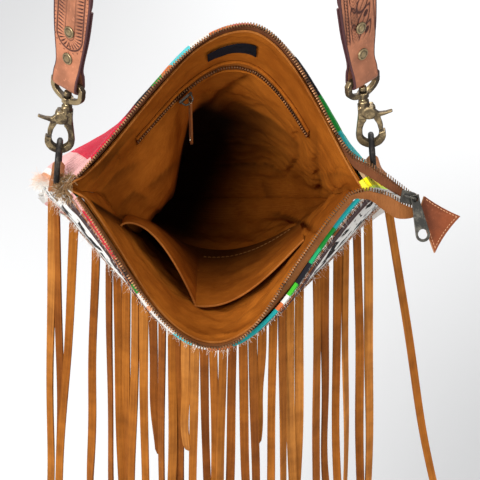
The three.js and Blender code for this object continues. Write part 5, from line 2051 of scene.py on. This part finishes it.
CUTS = {Tooling.SCALLOPS: scallop_cut, Tooling.LEAVES: leaf_cut}
UP_THE_STRAP = 90


@dataclass
class Strap:
    """The shoulder strap: both ends folded through the snaps, tooled outside, arched over the hang point."""

    left: Hanger
    right: Hanger
    width: float = 33.0
    thickness: float = 4.0
    layer: float = 2.2
    doubled: float = 62.0
    narrow: float = 22.0
    turn: float = 4.2
    split: float = 1.3
    cut_depth: float = 0.7
    plain_end: float = 4.0
    left_cut_end: float = 150.0
    right_cut_start: float = 152.0
    fine_end: float = 78.0
    thinning: int = 3
    points: int = 2000
    columns: int = 43
    border: float = 0.47

    def end(self, hanger: Hanger) -> list[list[float]]:
        """Stations of one end, from its turned-back layer round the eye's bar and up.

        Args:
            hanger: The side that it belongs to.

        Returns:
            Rows of eight numbers: centre, side direction, width, thickness.
        """
        rows = [(-self.split, self.doubled), (-self.split, 40.0), (-self.split, 16.0), (-3.4, 7.0)]
        for angle in np.linspace(math.pi, 2.0 * math.pi, 9):
            rows.append((self.turn * math.cos(angle), self.turn * math.sin(angle)))
        rows += [(3.4, 7.0), (self.split, 16.0), (self.split, 40.0), (self.split, self.doubled)]
        stations = []
        for out, rise in rows:
            centre = hanger.eye + hanger.out * out + hanger.up * rise
            width = blend(self.narrow, self.width, float(ease(np.array(rise), 8.0, 58.0)))
            stations.append([*centre, *hanger.across, width, self.layer])
        return stations

    def half(self, hanger: Hanger) -> list[list[float]]:
        """Stations of one side, from its end up to the shoulder.

        Args:
            hanger: The side that it belongs to.

        Returns:
            Rows of eight numbers, as for an end.
        """
        middle = self.layer / 2 + self.split - self.thickness / 2
        start = hanger.eye + hanger.up * (self.doubled + 8.0) + hanger.out * middle
        rise = float(np.linalg.norm(hanger.shoulder - start))
        knots = [start, start + hanger.up * rise / 3, hanger.shoulder - np.array([0.0, 0.0, rise / 3]),
                 hanger.shoulder]
        level = np.array([0.0, -1.0 if hanger.across[1] < 0 else 1.0, 0.0])
        stations = []
        for share in np.arange(9) / 9.0:
            rest = 1 - share
            weights = (rest ** 3, 3 * share * rest ** 2, 3 * share ** 2 * rest, share ** 3)
            centre = sum(weight * knot for weight, knot in zip(weights, knots))
            across = unit(blend(hanger.across, level, float(ease(np.array(share), 0.0, 0.55))))
            stations.append([*centre, *across, self.width, self.thickness])
        flip = level[1]
        return [[*row[:3], *(flip * np.array(row[3:6])), *row[6:]] for row in self.end(hanger) + stations]

    def fold(self, hanger: Hanger, line: np.ndarray) -> int:
        """Number of the point where one end turns round the eye's bar."""
        return int(np.argmin(np.linalg.norm(line - (hanger.eye - hanger.up * self.turn), axis=1)))

    def stations(self) -> np.ndarray:
        """Stations of the whole strap, close together where it is folded.

        Returns:
            Rows of eight numbers, as for an end.
        """
        height = self.left.arch
        radius = height + self.thickness / 2
        arch = []
        for angle in np.linspace(math.pi, 0.0, 13):
            arch.append([radius * math.cos(angle), 0.0, radius * math.sin(angle) - height, 0.0, 1.0, 0.0,
                         self.width, self.thickness])
        rows = self.half(self.left) + arch + self.half(self.right)[::-1]
        line = spline(np.array(rows), self.points)
        folded = np.minimum(np.linalg.norm(line[:, :3] - self.left.eye, axis=1),
                            np.linalg.norm(line[:, :3] - self.right.eye, axis=1))
        return line[(folded < self.fine_end) | (np.arange(len(line)) % self.thinning == 0)]

    def build(self) -> None:
        """Build the whole strap with its tooling cut into the outer face."""
        line = self.stations()
        centre = to_bag(line[:, :3])
        side, normal = path_frames(centre, turn_to_bag(unit(line[:, 3:6])))
        run = run_lengths(centre)
        share = np.linspace(-0.5, 0.5, self.columns)
        u = share[None, :] * line[:, 6:7]
        turned, other = self.fold(self.left, line[:, :3]), self.fold(self.right, line[:, :3])
        v_left, v_right = (run - run[turned])[:, None], (run[other] - run)[:, None]
        left_cut = CUTS[self.left.tooling](u, v_left) * (v_left < self.left_cut_end)
        right_cut = CUTS[self.right.tooling](u, v_right) * (v_left >= self.right_cut_start)
        shown = (v_left > self.plain_end) & (v_right > self.plain_end)
        cut = shown * np.maximum(left_cut, right_cut)
        upper = normal[turned + UP_THE_STRAP]
        out = np.sign(np.dot(upper, turn_to_bag(self.left.out))) * normal[:, None]
        rise = line[:, 7:8] / 2 * (1.0 - 0.35 * (2.0 * np.abs(share)) ** 10)
        middle = centre[:, None] + side[:, None] * u[..., None]
        outer = middle + out * (rise - self.cut_depth * cut)[..., None]
        inner = middle - out * rise[..., None]
        uv = np.stack(np.broadcast_arrays(u * MM, run[:, None] * MM), axis=-1)
        tone = np.where(np.abs(share) > self.border, EDGE_TONE, 0.9 * cut)
        shape = Shape()
        thick_sheet(shape, outer, inner, uv, tone)
        finish_piece(shape.build("strap_leather", 60.0), TOOLED, nodes=["strap"])


PLUMB = np.array([0.0, -SLANT, -SLANT])


def turn_about(vectors: np.ndarray, axis: np.ndarray, angle: np.ndarray) -> np.ndarray:
    """Turn vectors about an axis.

    Args:
        vectors: The vectors.
        axis: Unit vector along the axis.
        angle: Angles in radians.

    Returns:
        The turned vectors.
    """
    angle = np.asarray(angle)[..., None]
    upright = axis * np.sum(vectors * axis, axis=-1, keepdims=True)
    return (vectors - upright) * np.cos(angle) + np.cross(axis, vectors) * np.sin(angle) + upright


HAIR_POINTS = 5
HAIR_SIDES = 3


def hairs(shape: Shape, roots: np.ndarray, directions: np.ndarray, lengths: np.ndarray, radius: float,
          droop: float, seed: int) -> None:
    """Add loose hairs that bend and droop.

    Args:
        shape: The piece that they are added to.
        roots: Where each hair starts.
        directions: Which way each hair points.
        lengths: How long each hair is.
        radius: Half the thickness at the root.
        droop: Share of its length that a hair sinks at its tip.
        seed: Number that fixes the bends.
    """
    random = np.random.default_rng(seed)
    count = len(roots)
    share = np.linspace(0.0, 1.0, HAIR_POINTS)
    bend = random.normal(0.0, 0.35, (count, 3))
    line = (roots[:, None] + directions[:, None] * (share[None, :] * lengths[:, None])[..., None]
            + bend[:, None] * (share[None, :] ** 2 * lengths[:, None])[..., None]
            + PLUMB * (droop * share[None, :] ** 2 * lengths[:, None])[..., None])
    along = unit(np.gradient(line, axis=1))
    side = unit(np.cross(along, np.array([0.31, 0.52, 0.80])))
    up = np.cross(along, side)
    turn = (np.arange(HAIR_SIDES) * 2.0 * math.pi / HAIR_SIDES)[:, None]
    size = radius * (1.0 - 0.6 * share)[None, :, None, None]
    ring = side[:, :, None] * np.cos(turn) + up[:, :, None] * np.sin(turn)
    points = line[:, :, None] + ring * size
    one = grid_faces(HAIR_POINTS, HAIR_SIDES, around=True)[:, ::-1]
    many = one[None] + (np.arange(count) * HAIR_POINTS * HAIR_SIDES)[:, None, None]
    tone = np.repeat(random.uniform(0.0, 1.0, count), HAIR_POINTS * HAIR_SIDES)
    shape.add(to_world(points.reshape(-1, 3)), many.reshape(-1, 4), None, tone)


STRIPS = (
    (-0.89, -0.086), (-0.823, -0.06), (-0.65, -0.097), (-0.511, -0.067), (-0.443, -0.044),
    (-0.404, -0.038), (-0.362, -0.052), (-0.322, -0.047), (-0.287, -0.026), (-0.249, -0.028),
    (-0.212, -0.041), (-0.176, -0.028), (-0.148, -0.011), (-0.12, -0.022), (-0.089, -0.029),
    (-0.058, -0.01), (-0.027, 0), (0.011, -0.014), (0.046, -0.012), (0.081, 0.01),
    (0.116, 0.01), (0.151, -0.003), (0.195, 0.008), (0.228, 0.027), (0.261, 0.019),
    (0.3, 0.01), (0.375, 0.031), (0.413, 0.043), (0.479, 0.032), (0.522, 0.031),
    (0.588, 0.053), (0.665, 0.057), (0.89, 0.178),
)
SHORT_STRIPS = {3: 0.8, 9: 0.5, 13: 0.4, 21: 0.42, 27: 0.78}


@dataclass
class Fringe:
    """Long suede strips sewn under the hair band."""

    width: float = 6.6
    thickness: float = 1.5
    longest: float = 380.0
    head_top: float = 59.0
    head_end: float = 69.0
    lift: float = 3.7
    head_thickness: float = 2.0
    head_run: float = 380.0
    ends_differ: float = 18.0
    steps: int = 36

    def strip_line(self, i: int) -> tuple[np.ndarray, np.ndarray]:
        """Centreline and side directions of one strip.

        Args:
            i: Number of the strip, from the left.

        Returns:
            Points of the line and the direction of its width at each.
        """
        across, lean = STRIPS[i]
        depth = np.array(self.head_end - 2.0)
        line = unit(BODY.point(FRONT, across + NEARBY, depth) - BODY.point(FRONT, across - NEARBY, depth))
        out = np.array([line[1], -line[0], 0.0])
        root = BODY.point(FRONT, across, depth) + out * (self.lift + self.head_thickness / 2)
        length = self.longest * SHORT_STRIPS.get(i, 1.0) - self.ends_differ * (0.5 + 0.5 * math.sin(i * 2.4))
        level = unit(line - PLUMB * np.dot(line, PLUMB))
        facing = unit(blend(level, np.array([math.copysign(1.0, line[0]), 0.0, 0.0]), 0.3))
        part = np.linspace(0.0, 1.0, self.steps)
        drop = part * length
        sway = 3.0 * np.sin(i * 1.3 + part * 2.2) * part + 1.2 * np.sin(i * 2.7 + part * 9.0) * part
        forward = 4.0 * (i % 3) * part
        points = root + drop[:, None] * PLUMB + np.stack(
            [lean * drop + sway, -forward * 0.7, forward * 0.7], axis=-1)
        twist = 0.35 * math.sin(i * 2.1) + 0.55 * part * np.sin(i * 3.1 + 4.0 * part)
        return points, turn_about(np.broadcast_to(facing, points.shape), PLUMB, twist)

    def build(self) -> None:
        """Build the head and all strips as one piece."""
        shape = Shape()
        deep = np.linspace(self.head_top, self.head_end, 6)
        across, depth = np.meshgrid(np.linspace(-0.985, 0.985, 90), deep)
        under = BODY.point(FRONT, across, depth)
        normal = facing_normals(under, FRONT.side)
        uv = np.stack([across * CLOTH_METRES / 2, depth * MM], axis=-1)
        near = under + normal * self.lift
        thick_sheet(shape, near, near + normal * self.head_thickness, uv, 0.45)
        part = np.linspace(0.0, 1.0, self.steps)
        random = np.random.default_rng(17)
        for i in range(len(STRIPS)):
            line, side = self.strip_line(i)
            width = self.width * (1.0 + 0.06 * np.sin(5.0 * part + i)) * (1.0 - 0.5 * ease(part, 0.985, 1.0))
            tone = random.uniform(0.25, 0.95) + 0.12 * np.sin(7.0 * part + i)
            # Painted shade: each strip a little darker just below the head.
            tone = tone - 0.15 * (1.0 - ease(part, 0.0, 0.05))
            strip(shape, line, side, width, self.thickness, np.clip(tone, 0.0, 1.0), 0.25 * math.sin(1.9 * i))
        piece = finish_piece(shape.build("fringe_strips", 50.0), SUEDE, nodes=["fringe"])
        self.flat_area()

    def flat_area(self) -> float:
        """Area of suede in the head and all the strips, in square metres."""
        strips = sum(length_of(self.strip_line(i)[0]) * self.width for i in range(len(STRIPS)))
        return (strips + self.head_run * (self.head_end - self.head_top)) * MM * MM


@dataclass
class Fluff:
    """Loose wool and jute hairs along the cut edges."""

    cord_points: int = 40

    def rim_hairs(self) -> None:
        """White wool on the hair band's edges and along the front's rim."""
        shape = Shape()
        random = np.random.default_rng(23)
        for depth, count, length in ((57.0, 900, 5.0), (38.5, 300, 3.0), (7.0, 420, 3.6)):
            across = random.uniform(-0.97, 0.9, count)
            deep = np.full(count, depth) + random.normal(0.0, 0.5, count)
            root = clothed(FRONT, across, deep)
            ahead = clothed(FRONT, across + 0.01, deep)
            run = unit(ahead - root)
            out = np.stack([run[:, 1], -run[:, 0], 0.0 * run[:, 0]], axis=-1)
            tilt = random.normal(0.0, 0.6, (count, 3)) + np.array([0.0, -0.2, 0.0])
            direction = unit(out + 0.9 * tilt + run * random.normal(0.0, 0.7, (count, 1)))
            lengths = random.uniform(0.35, 1.0, count) * length
            hairs(shape, root + out * 2.1, direction, lengths, 0.085, 0.3, 29)
        finish_piece(shape.build("rim_hairs"), WOOL)

    def piping(self, shape: Shape) -> None:
        """Add the jute cord that fills the left corner along both rims.

        Args:
            shape: The piece that it is added to.
        """
        share = np.linspace(0.0, 1.0, self.cord_points)
        radius = 1.9 - 0.9 * share + 0.25 * ripple(share * 60.0, 0.0 * share, 83, 6.0)
        for wall, end in ((BACK, -0.77), (FRONT, -0.80)):
            line = BODY.point(wall, blend(-1.0, end, share), np.full(len(share), 6.0))
            tube(shape, line, radius, 10, tone=0.1)

    def bulge_hairs(self) -> None:
        """Soft wool over the bunched left corner and a lime cord that fills the right one."""
        random = np.random.default_rng(53)
        for name, count, finish, wall, low in (("bulge_wool", 1500, WOOL, FRONT, -1.0),
                                               ("bulge_peach", 900, PEACH_WOOL, BACK, -0.985)):
            across = random.uniform(low, -0.90, count)
            deep = random.uniform(24.0, 82.0, count)
            root = clothed(wall, across, deep) + np.array([-1.5, 0.8, 0.0])
            direction = unit(np.array([-0.7, 0.1, 0.25]) + random.normal(0.0, 0.45, (count, 3)))
            shape = Shape()
            hairs(shape, root, direction, random.uniform(2.0, 5.5, count), 0.14, 0.2, 59)
            finish_piece(shape.build(name), finish)
        cord = Shape()
        share = np.linspace(0.0, 1.0, self.cord_points)
        line = BODY.point(BACK, blend(0.80, 1.0, share), np.full(len(share), 6.5), 2.0)
        radius = 1.8 + 1.9 * share + 0.3 * ripple(share * 60.0, 0.0 * share, 85, 6.0)
        tube(cord, line, radius, 10, tone=0.7)
        finish_piece(cord.build("corner_lime"), LIME_WOOL)

    def corner_hairs(self) -> None:
        """Frayed jute at the left corner, with some white wool over it."""
        random = np.random.default_rng(37)
        for name, count, finish, spread in (("corner_jute", 1300, JUTE, 3.0),
                                            ("corner_wool", 260, WOOL, 7.0)):
            shape = Shape()
            if finish is JUTE:
                self.piping(shape)
            upper = random.uniform(0.0, 1.0, count) < 0.6
            across = np.where(upper, random.uniform(-1.0, -0.78, count), random.uniform(-1.0, -0.79, count))
            deep = 6.5 + np.abs(random.normal(0.0, spread, count))
            back = BODY.point(BACK, across, deep)
            front = BODY.point(FRONT, across, deep)
            root = np.where(upper[:, None], back, front) + np.array([-1.2, 0.0, 0.0])
            direction = unit(np.array([-0.5, 0.15, 0.7]) + random.normal(0.0, 0.6, (count, 3)))
            hairs(shape, root, direction, random.uniform(2.0, 8.0, count), 0.2, 0.25, 43)
            finish_piece(shape.build(name), finish)

    def build(self) -> None:
        """Build all loose hairs."""
        self.rim_hairs()
        self.corner_hairs()
        self.bulge_hairs()


@dataclass
class Room:
    """Camera, soft lights and the pale floor with its painted shade."""

    lens: float = 138.5
    tilt: float = 45.0
    floor: float = -1.30

    def camera(self) -> None:
        """Put the camera in front of the mouth, looking down at 45 degrees."""
        data = bpy.data.cameras.new("camera")
        data.lens = self.lens
        data.sensor_width = 36.0
        data.dof.use_dof = False
        camera = bpy.data.objects.new("camera", data)
        bpy.context.scene.collection.objects.link(camera)
        camera.location = to_world(np.array([*AIM, EYE_DISTANCE]))
        camera.rotation_euler = (math.radians(self.tilt), 0.0, 0.0)
        bpy.context.scene.camera = camera

    def light(self, name: str, place: Sequence[float], target: Sequence[float], size: float,
              power: float) -> None:
        """Hang a square soft light.

        Args:
            name: Name of the light.
            place: Where it hangs, in metres.
            target: What it points at, in metres.
            size: Its side, in metres.
            power: Its power in watts.
        """
        data = bpy.data.lights.new(name, "AREA")
        data.size = size
        data.energy = power
        lamp = bpy.data.objects.new(name, data)
        bpy.context.scene.collection.objects.link(lamp)
        lamp.location = place
        away = np.array(place) - np.array(target)
        level = math.hypot(away[0], away[1])
        lamp.rotation_euler = (math.atan2(level, away[2]), 0.0, math.atan2(away[0], -away[1]))

    def build(self) -> None:
        """Build the floor, the lights, the air and the camera."""
        bpy.ops.object.select_all(action="DESELECT")
        bpy.ops.mesh.primitive_plane_add(size=14.0, location=(0.0, 0.0, self.floor))
        floor = bpy.context.view_layer.objects.active
        floor.name = "floor"
        bpy.ops.object.mode_set(mode="EDIT")
        bpy.ops.mesh.subdivide(number_cuts=6)
        bpy.ops.object.mode_set(mode="OBJECT")
        bpy.ops.object.transform_apply(location=True, rotation=True, scale=True)
        floor.data.materials.append(Studio("floor_paint", "").material())
        bag = (0.0, -0.05, -0.5)
        self.light("key", (-1.5, -1.8, 0.9), bag, 1.1, 78.0)
        self.light("fill", (1.5, -1.7, 0.2), bag, 1.4, 17.0)
        self.light("over", (0.0, 0.2, 1.5), (0.0, 0.3, -0.6), 1.8, 27.0)
        self.light("behind", (0.2, 1.9, 0.5), (0.0, 0.6, -1.3), 1.6, 40.0)
        world = bpy.data.worlds.new("air")
        world.use_nodes = True
        air = world.node_tree.nodes["Background"].inputs
        air["Color"].default_value = (0.93, 0.94, 0.96, 1.0)
        air["Strength"].default_value = 0.55
        bpy.context.scene.world = world
        bpy.context.scene.view_settings.view_transform = "Standard"
        bpy.context.scene.view_settings.look = "None"
        self.camera()


def main() -> None:
    """Build the handbag piece by piece."""
    logging.basicConfig(level=logging.INFO, format="%(name)s: %(message)s")
    Room().build()
    Body().build()
    pouch = Pouch()
    pouch.build()
    SlipPocket().build()
    PocketZip(pouch).build()
    MouthZip().build()
    # The last tuple of each hanger is the direction of its snap's painted highlight.
    left = Hanger("left", -1, (-115.0, 13.5, -15.0), 3.6, Tooling.SCALLOPS, (-0.85, -0.42, 0.45))
    right = Hanger("right", 1, (110.0, 18.0, -21.0), 7.0, Tooling.LEAVES, (-0.35, -0.65, 0.67))
    for hanger in (left, right):
        hanger.tab()
        hanger.ring()
        hanger.snap()
        hanger.rivets()
    Strap(left, right).build()
    Fringe().build()
    Fluff().build()


if __name__ == "__main__":
    main()
